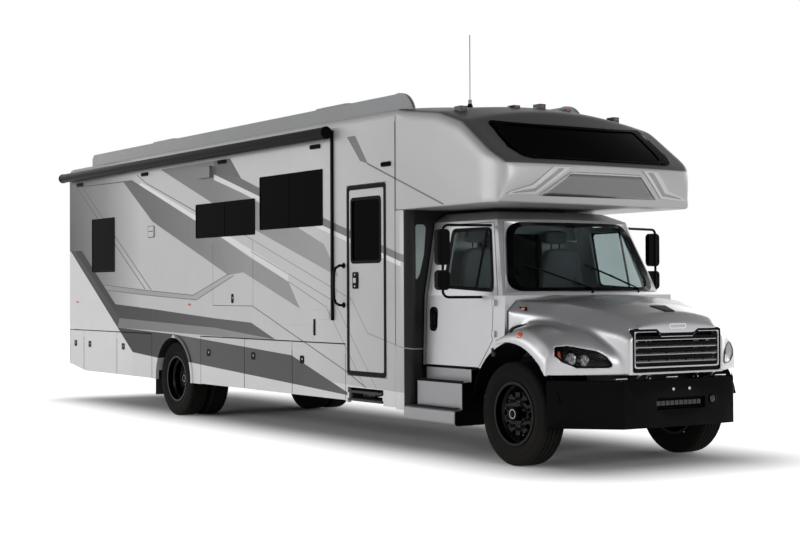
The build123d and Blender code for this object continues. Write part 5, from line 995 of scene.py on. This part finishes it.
# Cab
def make_cab():
    """The windshield's surround and seal, the wipers, and both sides of the cab."""
    glass = tree_of("windshield")
    shell = tree_of("cab_shell", "windshield")
    middle = Vector((0, 1.98))
    outline = [(-0.955, 1.640), (0.955, 1.640), (0.770, 2.320), (-0.770, 2.320)]

    def laid(form, radius, scale, lift):
        """A loop on the front of the cab, around the windshield."""
        corners = rounded(outline, radius, 6)
        loop = []
        for number, (start, end) in enumerate(zip(corners, corners[1:] + corners[:1])):
            parts = 10 if number % 7 == 6 else 1
            for step in range(parts):
                spot = middle + (start + (end - start) * step / parts - middle) * scale
                found = from_front(shell, *spot)
                loop.append(form.mesh.verts.new(found + Vector((lift, 0, 0.002))))
        return loop

    surround = Form()
    surround.bridge(laid(surround, 0.02, 1.026, 0.008), laid(surround, 0.15, 0.985, 0.008))
    surround.finish("windshield_surround", "chassis", "silver_paint", thick=0.008)
    seal = Form()
    seal.bridge(laid(seal, 0.15, 0.995, 0.013), laid(seal, 0.15, 0.905, 0.013))
    seal.finish("windshield_seal", "chassis", "black_gloss", thick=0.008)
    wipers = Form()
    for y, reach in ((-0.05, -0.62), (0.62, -0.62)):
        base = from_front(glass, y, 1.665)
        tip = from_front(glass, y + reach * 0.62, 1.80)
        wipers.tube([base + Vector((0.03, 0, -0.03)), base + Vector((0.035, 0, 0.0)),
                     tip + Vector((0.03, 0, 0))], 0.009, flat=0.6)
        blade = []
        for step in range(9):
            share = step / 8 - 0.5
            found = from_front(glass, y + reach * 0.62 + share * 0.56, 1.80 - share * 0.20)
            if found:
                blade.append(found + Vector((0.016, 0, 0)))
        wipers.tube(blade, 0.008, flat=1.4)
        wipers.lathe([(-0.02, 0.02), (0.02, 0.02), (0.03, 0.012)],
                     base + Vector((0.02, 0, -0.035)), (0.5, 0, 1), 14)
    wipers.finish("wipers", "chassis", "black_trim", bevel=0.0)
    for side_name, side in SIDES:
        make_cab_side(side_name, side)


DOOR_GLASS = ((3.735, 1.690), (4.490, 1.650), (4.475, 1.735), (4.290, 2.262), (3.735, 2.262))


def make_cab_side(side_name, side):
    """A cab door's window seal, vent bar and handle."""
    body = f"cab_door_{side_name}"
    door = tree_of(f"cab_door_{side_name}", f"cab_door_glass_{side_name}")
    middle = Vector((4.05, 1.96))
    rim = Form()
    outer = rounded([middle + (Vector(point) - middle) * 1.055 for point in DOOR_GLASS], 0.06, 5)
    inner = rounded([middle + (Vector(point) - middle) * 0.945 for point in DOOR_GLASS], 0.05, 5)
    loops = []
    for outline in (outer, inner):
        loop = []
        for point in outline:
            spot = (from_side(door, point.x, point.y, side)
                    or Vector((point.x, side * 1.0, point.y)))
            loop.append(rim.mesh.verts.new((point.x, spot.y + side * 0.006, point.y)))
        loops.append(loop)
    rim.skin(loops)
    rim.finish(f"door_window_seal_{side_name}", body, "black_gloss", thick=0.008)
    bar = Form()
    ends = []
    for z in (1.67, 2.25):
        ends.append(from_side(door, 4.235, z, side) + Vector((0, side * 0.004, 0)))
    bar.tube(ends, 0.013, flat=1.0)
    bar.finish(f"door_vent_bar_{side_name}", body, "black_trim", bevel=0.0)
    handle = Form()
    face = from_side(door, 3.60, 1.36, side).y
    handle.prism(oblong((3.525, 1.235), (3.665, 1.485), 0.06, 6), "y", face - side * 0.012,
                 side * 0.016)
    handle.finish(f"door_handle_cup_{side_name}", body, "black_gloss", bevel=0.004)
    pull = Form()
    pull.tube([(3.595, face, 1.45), (3.60, face + side * 0.030, 1.42),
               (3.60, face + side * 0.034, 1.35), (3.60, face + side * 0.030, 1.29),
               (3.595, face, 1.265)], 0.017, flat=0.6)
    pull.finish(f"door_handle_{side_name}", body, "black_trim", bevel=0.0)


# Seats behind the cab's glass
def cushion(name, centre, size, lean, crown, channels):
    """A padded block: crowned, pulled in at its corners, with sewn channels."""
    shape = bmesh.new()
    bmesh.ops.create_cube(shape, size=2)
    bmesh.ops.subdivide_edges(shape, edges=shape.edges, cuts=13, use_grid_fill=True)
    turn = Matrix.Rotation(radians(lean), 3, "Y")
    for corner in shape.verts:
        u, v, w = corner.co
        reach = (abs(u) ** 5 + abs(v) ** 5 + abs(w) ** 5) ** 0.2
        u, v, w = u / reach, v / reach, w / reach
        rise = crown * (1 - u * u) * (1 - v * v) * (1 if w > 0 else 0.2)
        dip = sum(0.010 * 2.718 ** (-((v - place) / 0.05) ** 2) for place in channels)
        pull = 1 - 0.03 * (u * u * v * v)
        spot = Vector((u * size[0] / 2 * pull, v * size[1] / 2 * pull,
                       w * size[2] / 2 + (rise - dip) * (1 if w > 0 else -0.4)))
        corner.co = turn @ spot + Vector(centre)
    mesh = bpy.data.meshes.new(name)
    shape.to_mesh(mesh)
    shape.free()
    piece = add_piece(name, mesh, "chassis", "seat_cloth", "seat_cloth", angle=180, subdivide=1)
    return piece


def make_seats():
    """Two seats, each a cushion, a back and a headrest on a dark stand."""
    for side_name, side in SIDES:
        y = side * 0.52
        seat = cushion(f"seat_cushion_{side_name}", (3.885, y, 1.452), (0.48, 0.49, 0.135), 0,
                       0.015, (-0.5, 0.5))
        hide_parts("cab_seats")
        back = cushion(f"seat_back_{side_name}", (3.635, y, 1.765), (0.66, 0.46, 0.125), -80,
                       0.02, (-0.45, 0.45))
        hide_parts("cab_seats")
        rest = cushion(f"headrest_{side_name}", (3.585, y, 2.215), (0.14, 0.27, 0.10), -82,
                       0.012, ())
        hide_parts("cab_seats")
        stand = Form()
        stand.prism(oblong((3.70, y - 0.16), (4.05, y + 0.16), 0.05), "z", 1.052, 0.33)
        for post in (-0.055, 0.055):
            stand.tube([(3.592, y + post, 2.07), (3.587, y + post, 2.17)], 0.007)
        stand.finish(f"seat_stand_{side_name}", "chassis", "black_trim", bevel=0.006)


# Coach sides. Windows: name, side, body, low and high corner, and the bars between panes
WINDOWS = (
    ("rear_right", -1, "chassis", (-5.070, 1.946), (-4.227, 2.712), ()),
    ("middle_right", -1, "chassis", (-1.516, 2.343), (0.100, 2.757), (-0.708,)),
    ("front_right", -1, "chassis", (0.244, 2.390), (1.716, 3.000), (0.950,)),
    ("rear_left", 1, "chassis", (-5.070, 1.946), (-4.227, 2.712), ()),
    ("front_left", 1, "chassis", (2.350, 2.060), (2.950, 2.700), ()),
    ("slide_rear", 1, "slide_out", (-1.150, 2.150), (0.150, 2.800), (-0.5,)),
    ("slide_front", 1, "slide_out", (0.700, 2.150), (1.350, 2.800), ()),
)


def make_windows():
    """Frames round the coach's windows, and the panes of the slide-out room."""
    for name, side, body, low, high, bars in WINDOWS:
        face = side * (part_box("slide_out")[1].y if body == "slide_out" else WALL_Y)
        frame_ring = Form()
        outer = oblong((low[0] - 0.012, low[1] - 0.012), (high[0] + 0.012, high[1] + 0.012), 0.02)
        inner = oblong((low[0] + 0.014, low[1] + 0.014), (high[0] - 0.014, high[1] - 0.014), 0.01)
        frame_ring.ring(outer, inner, "y", face - side * 0.012, side * 0.018)
        for x in bars:
            frame_ring.prism([(x - 0.009, low[1] + 0.01), (x + 0.009, low[1] + 0.01),
                              (x + 0.009, high[1] - 0.01), (x - 0.009, high[1] - 0.01)],
                             "y", face - side * 0.012, side * 0.016)
        frame_ring.finish(f"window_frame_{name}", body, "dark_glass", "black_plastic", bevel=0.003)
        if body == "slide_out":
            pane = Form()
            pane.prism(oblong(low, high, 0.04), "y", face - side * 0.002, side * 0.004)
            pane.finish(f"pane_{name}", body, "dark_glass", bevel=0.001)


def latch(name, body, x, z, side, face, half=(0.050, 0.046)):
    """An oval latch: a dark rim, and a paddle across its middle."""
    rim = Form()
    corner = 0.6 * min(half)
    outer = pad(x, z, half[0], half[1], corner, 6)
    inner = pad(x, z, 0.78 * half[0], 0.80 * half[1], 0.7 * corner, 6)
    rim.ring(outer, inner, "y", face - side * 0.002, side * 0.006)
    rim.prism(inner, "y", face - side * 0.009, side * 0.0105)
    rim.finish(f"{name}_cup", body, "black_gloss", bevel=0.0015)
    paddle = Form()
    paddle.prism(oblong((x - 0.22 * half[0], z - 0.10 * half[1]),
                        (x + 0.22 * half[0], z + 0.36 * half[1]), 0.2 * half[0], 5),
                 "y", face, side * 0.004)
    paddle.finish(f"{name}_paddle", body, "brushed_silver", "black_plastic", bevel=0.002)


# Middles of the marker lamps along the top of the right wall
MARKER_PLACES = (-5.56, -3.14, -0.76, 1.57)


def make_side_details():
    """Latches, the entry door's trims, lamps, covers and seals on both walls."""
    for node in NODES:
        if node.startswith("baggage_door_"):
            low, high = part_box(node)
            side = -1 if "right" in node else 1
            rear = low.x - 0.0055
            x = rear + min(0.235, 0.4 * (high.x - low.x + 0.011))
            latch(f"latch_{node}", node, x, 0.870, side, side * WALL_Y)
    right = -WALL_Y
    latch("latch_cupboard_hatch", "cupboard_hatch", -0.4925, 1.560, -1, right, (0.030, 0.058))
    # Entry door: its black rim, lock plate and grab handle
    low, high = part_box("entry_door")
    rim = Form()
    rim.ring(oblong((low.x + 0.001, low.z + 0.001), (high.x - 0.001, high.z - 0.001), 0.04),
             oblong((low.x + 0.047, low.z + 0.047), (high.x - 0.047, high.z - 0.047), 0.025),
             "y", right + 0.003, -0.008)
    rim.finish("entry_door_rim", "entry_door", "black_trim", bevel=0.002)
    pane = Form()
    pane.ring(oblong((2.318, 1.941), (2.937, 2.654), 0.06),
              oblong((2.352, 1.975), (2.903, 2.620), 0.04), "y", right + 0.012, -0.016)
    pane.finish("entry_pane_rim", "entry_door", "black_gloss", bevel=0.003)
    lock = Form()
    lock.prism(oblong((2.362, 1.672), (2.480, 1.852), 0.02), "y", right + 0.002, -0.010)
    lock.finish("entry_lock_plate", "entry_door", "black_gloss", bevel=0.003)
    knob = Form()
    for z in (1.70, 1.825):
        knob.lathe([(0.0, 0.011), (0.006, 0.011), (0.008, 0.006)], (2.421, right - 0.008, z),
                   (0, -1, 0), 16)
    knob.prism(oblong((2.392, 1.735), (2.450, 1.790), 0.012), "y", right - 0.006, -0.012)
    knob.finish("entry_lock", "entry_door", "brushed_silver", bevel=0.001)
    grab = Form()
    grab.tube([(2.175, right, 1.925), (2.170, right - 0.055, 1.925), (2.160, right - 0.095, 1.90),
               (2.155, right - 0.112, 1.85), (2.155, right - 0.118, 1.71),
               (2.155, right - 0.112, 1.57), (2.160, right - 0.095, 1.52),
               (2.170, right - 0.055, 1.495), (2.175, right, 1.495)], 0.015)
    for z in (1.925, 1.495):
        grab.lathe([(0, 0.032), (0.008, 0.030), (0.012, 0.022)], (2.175, right, z), (0, -1, 0), 20)
    grab.finish("grab_handle", "chassis", "black_trim", bevel=0.0)
    # Small fittings on the right wall
    seat = right + 0.002
    small = Form()
    for x in MARKER_PLACES:
        small.prism(oblong((x - 0.11, 3.245), (x + 0.11, 3.295), 0.024), "y", seat, -0.020)
    small.prism(oblong((2.95, 2.945), (3.13, 2.995), 0.024), "y", seat, -0.018)
    small.prism(oblong((1.520, 1.15), (1.552, 1.335), 0.008), "y", seat, -0.012)
    small.prism([(SEAM_X - 0.006, 1.09), (SEAM_X - 0.001, 1.09), (SEAM_X - 0.001, 3.40),
                 (SEAM_X - 0.006, 3.40)], "y", seat, -0.005)
    small.finish("wall_fittings_right", "chassis", "black_trim", bevel=0.003)
    lenses = Form()
    for x in (*MARKER_PLACES, 3.04):
        z = 3.27 if x < 2 else 2.97
        lenses.prism(pad(x, z, 0.08, 0.014, 0.013), "y", right - 0.016, -0.006)
    lenses.finish("wall_lenses_right", "chassis", "dark_glass", "lamp_lens", bevel=0.002)
    box = Form()
    for low, high, radius, depth in (
            ((-1.40, 3.095), (-1.04, 3.240), 0.02, 0.048),
            ((1.445, 1.335), (1.865, 1.440), 0.01, 0.008),
            ((0.56, 1.092), (1.495, 1.268), 0.015, 0.005),
            ((-3.025, 2.392), (-2.835, 2.548), 0.015, 0.010)):
        box.prism(oblong(low, high, radius), "y", seat, -depth)
    box.finish("wall_covers_right", "chassis", "silver_livery", bevel=0.004)
    end = Form()
    end.prism(oblong((-3.0, 2.47), (-2.86, 2.478), 0.003), "y", right - 0.006, -0.006)
    end.ring(oblong((-3.028, 2.389), (-2.832, 2.551), 0.018),
             oblong((-3.020, 2.397), (-2.840, 2.543), 0.012), "y", seat, -0.011)
    end.finish("wall_cover_lines_right", "chassis", "black_trim", bevel=0.003)
    # A small dark pane low on each side of the wall behind the cab, shown pale by a painted
    # reflection
    for side_name, side in SIDES:
        pane = Form()
        corner = [(side * y, z) for y, z in ((1.160, 1.755), (1.115, 1.81), (1.06, 2.02),
                                             (1.035, 2.30), (1.060, 2.33), (1.160, 2.33))]
        pane.prism(rounded(corner, 0.03), "x", 3.398, 0.006)
        pane.finish(f"corner_pane_{side_name}", "chassis", "pale_glass_painted_reflection", bevel=0.001)
    # Left wall: filler flaps, hook-up hatch and outdoor shower cover
    left = WALL_Y
    plates = Form()
    for low, high in (((3.0, 1.16), (3.16, 1.33)), ((-2.3, 1.18), (-1.95, 1.48)),
                      ((-3.6, 1.25), (-3.35, 1.45)), ((2.45, 1.25), (2.75, 1.5))):
        plates.prism(oblong(low, high, 0.02), "y", left - 0.002, 0.010)
    plates.finish("wall_covers_left", "chassis", "silver_livery", bevel=0.003)
    marks = Form()
    for x, z in ((3.03, 1.245), (-2.26, 1.33), (-3.57, 1.35), (2.49, 1.375)):
        marks.lathe([(0, 0.014), (0.004, 0.014), (0.006, 0.008)], (x, left + 0.007, z), (0, 1, 0),
                    16)
    marks.finish("wall_locks_left", "chassis", "black_trim", bevel=0.001)
    # Slide-out: a dark wiper seal round its flange
    low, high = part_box("slide_out")
    seal = Form()
    seal.ring(oblong((low.x - 0.004, low.z - 0.004), (high.x + 0.004, high.z + 0.004), 0.02),
              oblong((low.x + 0.018, low.z + 0.018), (high.x - 0.018, high.z - 0.018), 0.02),
              "y", left + 0.0015, 0.012)
    seal.finish("slide_seal", "slide_out", "black_rubber", bevel=0.002)


def make_rear():
    """The tail's pane, camera, blank plate and lamp trims."""
    x = REAR_X
    plate = Form()
    plate.prism(oblong((-0.16, 0.745), (0.16, 0.905), 0.01), "x", x + 0.002, -0.006)
    plate.finish("plate_holder", "chassis", "black_trim", bevel=0.002)
    blank = Form()
    blank.prism(oblong((-0.152, 0.753), (0.152, 0.897), 0.008), "x", x - 0.003, -0.003)
    blank.finish("blank_plate", "chassis", "pale_paint", bevel=0.001)
    lights = Form()
    for y in (-0.20, 0.20):
        lights.prism(oblong((y - 0.03, 0.915), (y + 0.03, 0.935), 0.008), "x", x + 0.002, -0.02)
    lights.prism(oblong((-0.07, 3.16), (0.07, 3.25), 0.02), "x", x + 0.002, -0.05)
    for side in (-1, 1):
        lights.ring(oblong((side * 1.12 - 0.072, 0.80), (side * 1.12 + 0.072, 1.08), 0.02),
                    oblong((side * 1.12 - 0.058, 0.822), (side * 1.12 + 0.058, 1.058), 0.01),
                    "x", x + 0.002, -0.018)
    lights.finish("rear_trims", "chassis", "black_trim", bevel=0.002)
    eye = Form()
    eye.lathe([(0, 0.022), (0.006, 0.022), (0.010, 0.014)], (x - 0.046, 0, 3.205), (-1, 0, 0), 20)
    eye.finish("rear_camera", "chassis", "dark_glass", bevel=0)
    panel = Form()
    panel.prism(oblong((-0.62, 2.05), (0.62, 2.80), 0.06), "x", x + 0.002, -0.006)
    panel.finish("rear_pane", "chassis", "dark_glass", bevel=0.002)
    trim = Form()
    trim.ring(oblong((-0.64, 2.03), (0.64, 2.82), 0.07), oblong((-0.60, 2.07), (0.60, 2.78), 0.05),
              "x", x + 0.002, -0.012)
    trim.prism([(-1.235, 0.548), (1.235, 0.548), (1.235, 0.562), (-1.235, 0.562)],
               "x", x - 0.064, 0.05)
    trim.finish("rear_pane_rim", "chassis", "black_gloss", bevel=0.002)


def make_roof():
    """Louvres on the roof coolers, and the lids and louvres of the vents."""
    tree = tree_of("roof_fittings")
    louvres = Form()
    for rear in (-5.25, -0.28):
        for side in (-1, 1):
            for z in (3.68, 3.72, 3.76, 3.80, 3.84):
                found = from_side(tree, rear + 0.5, z, side, 0.8)
                louvres.prism(oblong((rear + 0.18, z - 0.009), (rear + 0.84, z + 0.009), 0.008),
                              "y", found.y - side * 0.01, side * 0.016)
        for y in (-0.16, -0.08, 0.0, 0.08, 0.16):
            louvres.prism(oblong((rear + 0.30, y - 0.015), (rear + 0.72, y + 0.015), 0.012),
                          "z", 3.920, 0.010)
    lids = Form()
    for x, y in ((-3.30, 0.0), (1.90, 0.0), (-1.50, 0.30)):
        lids.prism(pad(x, y, 0.235, 0.235, 0.05), "z", 3.678, 0.036)
        lids.prism(pad(x, y, 0.17, 0.17, 0.04), "z", 3.712, 0.012)
        for side in (-1, 1):
            louvres.prism(oblong((x - 0.16, 3.640), (x + 0.16, 3.660), 0.008),
                          "y", y + side * 0.206, side * 0.008)
    lids.finish("vent_lids", "chassis", "roof_plastic", bevel=0.010)
    louvres.finish("roof_louvres", "chassis", "black_trim", bevel=0.002)
    base = Form()
    base.lathe([(-0.02, 0.035), (0.02, 0.030), (0.05, 0.018), (0.06, 0.008)],
               (3.59, -0.60, 3.54), (0, 0, 1), 20)
    base.finish("aerial_base", "chassis", "black_trim", bevel=0)


BUMPER_LAMP_Y = 0.40


def make_front_lamps():
    """What shows in the bumper: a bar of small lamps in its slot, a round lamp, tow eyes."""
    bar = Form()
    bar.prism([(5.985, 0.575), (6.012, 0.572), (6.020, 0.585), (6.020, 0.637), (6.012, 0.650),
               (5.985, 0.648)], "y", -0.285, 0.57)
    bar.ring(oblong((-0.293, 0.566), (0.293, 0.656), 0.02),
             oblong((-0.285, 0.574), (0.285, 0.648), 0.014),
             "x", 6.028, 0.008)
    bar.finish("light_bar", "chassis", "black_gloss", bevel=0.003)
    cells = Form()
    for number in range(10):
        y = -0.252 + 0.056 * number
        cells.prism(oblong((y - 0.023, 0.588), (y + 0.023, 0.634), 0.006), "x", 6.016, 0.008)
    cells.finish("light_bar_cells", "chassis", "cell_glass", bevel=0.004)
    bumper = tree_of("front_bumper")
    lamp = Form()
    spot = from_front(bumper, BUMPER_LAMP_Y, 0.63, 6.5)
    facing = (1, 0.15 * BUMPER_LAMP_Y, 0)
    lamp.lathe([(-0.004, 0.052), (0.008, 0.050), (0.010, 0.043), (0.002, 0.040)], spot,
               facing, 28, ends=False)
    lamp.finish("bumper_lamp_rims", "chassis", "black_gloss", bevel=0)
    glass = Form()
    glass.lathe([(-0.002, 0.042), (0.004, 0.036), (0.008, 0.020), (0.009, 0.004)], spot,
                facing, 28)
    glass.finish("bumper_lamps", "chassis", "cell_glass", bevel=0)
    hooks = Form()
    for y in (-0.30, 0.30):
        hooks.tube([(5.93, y - 0.03, 0.80), (5.93, y - 0.03, 0.845), (5.95, y - 0.012, 0.868),
                    (5.95, y + 0.012, 0.868), (5.93, y + 0.03, 0.845), (5.93, y + 0.03, 0.80)],
                   0.011)
    for y in (-0.62, 0.0, 0.62):
        hooks.prism(oblong((y - 0.07, 0.833), (y + 0.07, 0.845), 0.004), "x", 5.90, 0.035)
    hooks.finish("tow_eyes", "chassis", "chrome", bevel=0.0)
    cover = Form()
    for y in (-0.10, 0.10):
        spot = from_front(bumper, y, 0.74, 6.5)
        cover.lathe([(0, 0.016), (0.006, 0.015), (0.010, 0.008)], spot, (1, 0, 0), 16)
    cover.finish("bumper_bolts", "chassis", "brushed_silver", bevel=0)


def make_cap_lamps():
    """Amber lenses on the clearance lamps over the cap."""
    tree = tree_of("lamps")
    for number, share in enumerate((-0.78, -0.26, 0.0, 0.26, 0.78)):
        y = share * WALL_Y
        spot = None
        for z in (3.60, 3.58, 3.56, 3.54, 3.52, 3.50, 3.48):
            spot = spot or from_front(tree, y, z, 4.3)
        if not spot:
            continue
        lens = Form()
        lens.prism(oblong((y - 0.018, spot.z - 0.014), (y + 0.018, spot.z - 0.002), 0.005),
                   "x", spot.x - 0.004, 0.008)
        lens.finish(f"cap_lamp_{number + 1}", "chassis", "amber_lens", bevel=0.002)


def make_steps():
    """The cab steps' lower plates, dark gaps, a dark end that is painted shade, and rubber treads.
    """
    low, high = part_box("cab_steps")
    tree = tree_of("cab_steps")
    for side_name, side in SIDES:
        plate = Form()
        plate.prism(rounded([(side * y, z) for y, z in (
            (1.06, 0.330), (1.262, 0.330), (1.280, 0.350), (1.280, 0.470), (1.235, 0.484),
            (1.06, 0.484))], 0.022), "x", low.x - 0.10, high.x - low.x + 0.10)
        plate.finish(f"step_plate_{side_name}", "chassis", "step_silver", bevel=0.018)
        dark = Form()
        for y, z in ((1.2435, 0.488), (1.1815, 0.752), (1.1815, 0.735)):
            dark.prism([(side * (y - 0.03), z), (side * y, z), (side * y, z + 0.010),
                        (side * (y - 0.03), z + 0.010)], "x", low.x + 0.002,
                       high.x - low.x - 0.004)
        # A black sheet on the steps' front end, facing the wheel: painted shade from the wheel
        # arch
        dark.prism([(side * y, z) for y, z in (
            (0.91, 0.325), (1.245, 0.325), (1.262, 0.345), (1.262, 0.465), (1.178, 0.475),
            (1.178, 0.742), (1.065, 0.75), (1.065, 0.868), (0.91, 0.868))],
            "x", high.x + 0.001, 0.005)
        dark.finish(f"step_gaps_and_painted_shade_{side_name}", "chassis", "black_trim", bevel=0.001)
        pads = Form()
        for y, x_span in ((1.232, (3.40, 4.17)), (1.135, (3.50, 4.17))):
            found = tree.ray_cast(Vector((3.75, side * y, 1.2)), DOWNWARD)[0]
            if found:
                top = max(found.z, 0.484 if y > 1.2 else 0.0)
                for shift in (-0.018, 0.0, 0.018):
                    middle = side * (y + shift)
                    pads.prism(oblong((x_span[0], middle - 0.006), (x_span[1], middle + 0.006),
                                      0.004), "z", top - 0.001, 0.005)
        pads.finish(f"step_pads_{side_name}", "chassis", "black_rubber", bevel=0.001)


def make_soft_edges():
    """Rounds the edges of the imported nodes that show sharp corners."""
    for node, width in (("front_bumper", 0.022), ("cab_steps", 0.018), ("slide_out", 0.006),
                        ("roof_fittings", 0.006), ("coach_end_walls", 0.004)):
        weld = NODES[node].modifiers.new("weld", "WELD")
        weld.merge_threshold = 0.00005
        bevelled(NODES[node], width, 35, 3)


# Studio
FLOOR_HALF = 60
# The floor is darker under the vehicle, a painted shadow where its glow falls away: half the size
# of that part, and how far it fades out
FLOOR_PAINTED_SHADOW_HALF = (5.5, 0.7, 10)
FLOOR_PAINTED_SHADOW_FADE = 1.7
# Lamps: name, place, target, size in metres, power in watts
LAMPS = (
    ("key", (-2, -17, 6), (0, -1.2, 1.6), (20, 6), 880),
    ("front", (18, -1, 5), (5, 0, 1.4), (7, 5), 420),
    ("far", (0, 17, 7), (0, 1.2, 1.6), (20, 6), 560),
    ("rear", (-18, -1, 6), (-6, 0, 1.6), (7, 5), 260),
)


def area_lamp(name, place, target, size, power):
    """A soft square lamp that faces a point."""
    data = bpy.data.lights.new(name, "AREA")
    data.shape = "RECTANGLE"
    data.size, data.size_y = size
    data.energy = power
    lamp = bpy.data.objects.new(name, data)
    lamp.location = place
    lamp.rotation_mode = "QUATERNION"
    lamp.rotation_quaternion = (Vector(target) - Vector(place)).to_track_quat("-Z", "Y")
    bpy.context.scene.collection.objects.link(lamp)


def seen_rays(tree):
    """1 for rays from the camera, off a shiny face or through glass, and otherwise 0."""
    path = tree.node("ShaderNodeLightPath")
    seen = path.outputs["Is Camera Ray"]
    for kind in ("Is Transmission Ray", "Is Glossy Ray"):
        seen = tree.math("MAXIMUM", seen, path.outputs[kind])
    return seen


def make_studio():
    """A pale floor with a painted shadow under the vehicle, and surround, with soft lamps along
    the near side.
    """
    world = bpy.data.worlds.new("studio")
    bpy.context.scene.world = world
    world.use_nodes = True
    tree = Tree(world.node_tree)
    background = world.node_tree.nodes["Background"]
    up = tree.node("ShaderNodeSeparateXYZ", {
        0: tree.node("ShaderNodeTexCoord").outputs["Generated"]}).outputs[2]
    pale = tree.ramp(up, 0.2, 0.75, 1.0, 0.22)
    background.inputs["Color"].default_value = (1, 1, 1, 1)
    tree.set(background.inputs["Strength"],
             tree.math("MULTIPLY", pale, tree.ramp(seen_rays(tree), 0, 1, 0.42, 1.0)))
    for lamp in LAMPS:
        area_lamp(*lamp)
    floor_mesh = bpy.data.meshes.new("floor")
    corners = [(x * FLOOR_HALF, y * FLOOR_HALF, GROUND_Z)
               for x, y in ((-1, -1), (1, -1), (1, 1), (-1, 1))]
    floor_mesh.from_pydata(corners, [], [(0, 1, 2, 3)])
    floor = bpy.data.objects.new("floor", floor_mesh)
    bpy.context.scene.collection.objects.link(floor)
    floor_material = bpy.data.materials.new("floor")
    floor_material.use_nodes = True
    shader = floor_material.node_tree.nodes["Principled BSDF"]
    tree = Tree(floor_material.node_tree)
    shader.inputs["Emission Color"].default_value = (1, 1, 1, 1)
    place = tree.node("ShaderNodeTexCoord").outputs["Object"]
    # Painted shadow: the floor's glow falls away near the vehicle, where its real shadow also
    # shows
    reach = tree.node("ShaderNodeVectorMath", {0: place}, operation="ABSOLUTE").outputs[0]
    reach = tree.node("ShaderNodeVectorMath", {0: reach, 1: FLOOR_PAINTED_SHADOW_HALF},
                      operation="SUBTRACT").outputs[0]
    reach = tree.node("ShaderNodeVectorMath", {0: reach, 1: (0, 0, 0)},
                      operation="MAXIMUM").outputs[0]
    far = tree.node("ShaderNodeVectorMath", {0: reach}, operation="LENGTH").outputs["Value"]
    fade = tree.node("ShaderNodeMapRange", {"Value": far, "From Max": FLOOR_PAINTED_SHADOW_FADE,
                                            "To Max": 0.95},
                     interpolation_type="SMOOTHSTEP").outputs["Result"]
    tree.set(shader.inputs["Emission Strength"], tree.math("MULTIPLY", seen_rays(tree), fade))
    shader.inputs["Base Color"].default_value = (0.92, 0.92, 0.92, 1)
    shader.inputs["Roughness"].default_value = 0.9
    shader.inputs["Specular IOR Level"].default_value = 0.0
    floor_mesh.materials.append(floor_material)


make_camera()
make_materials()
dress_nodes()
make_hood()
make_hood_details()
make_fender_liners()
make_wheels()
make_cap()
make_cab()
make_seats()
make_windows()
make_side_details()
make_rear()
make_roof()
make_front_lamps()
make_cap_lamps()
make_steps()
make_soft_edges()
make_studio()
bpy.context.scene.view_settings.view_transform = "Standard"
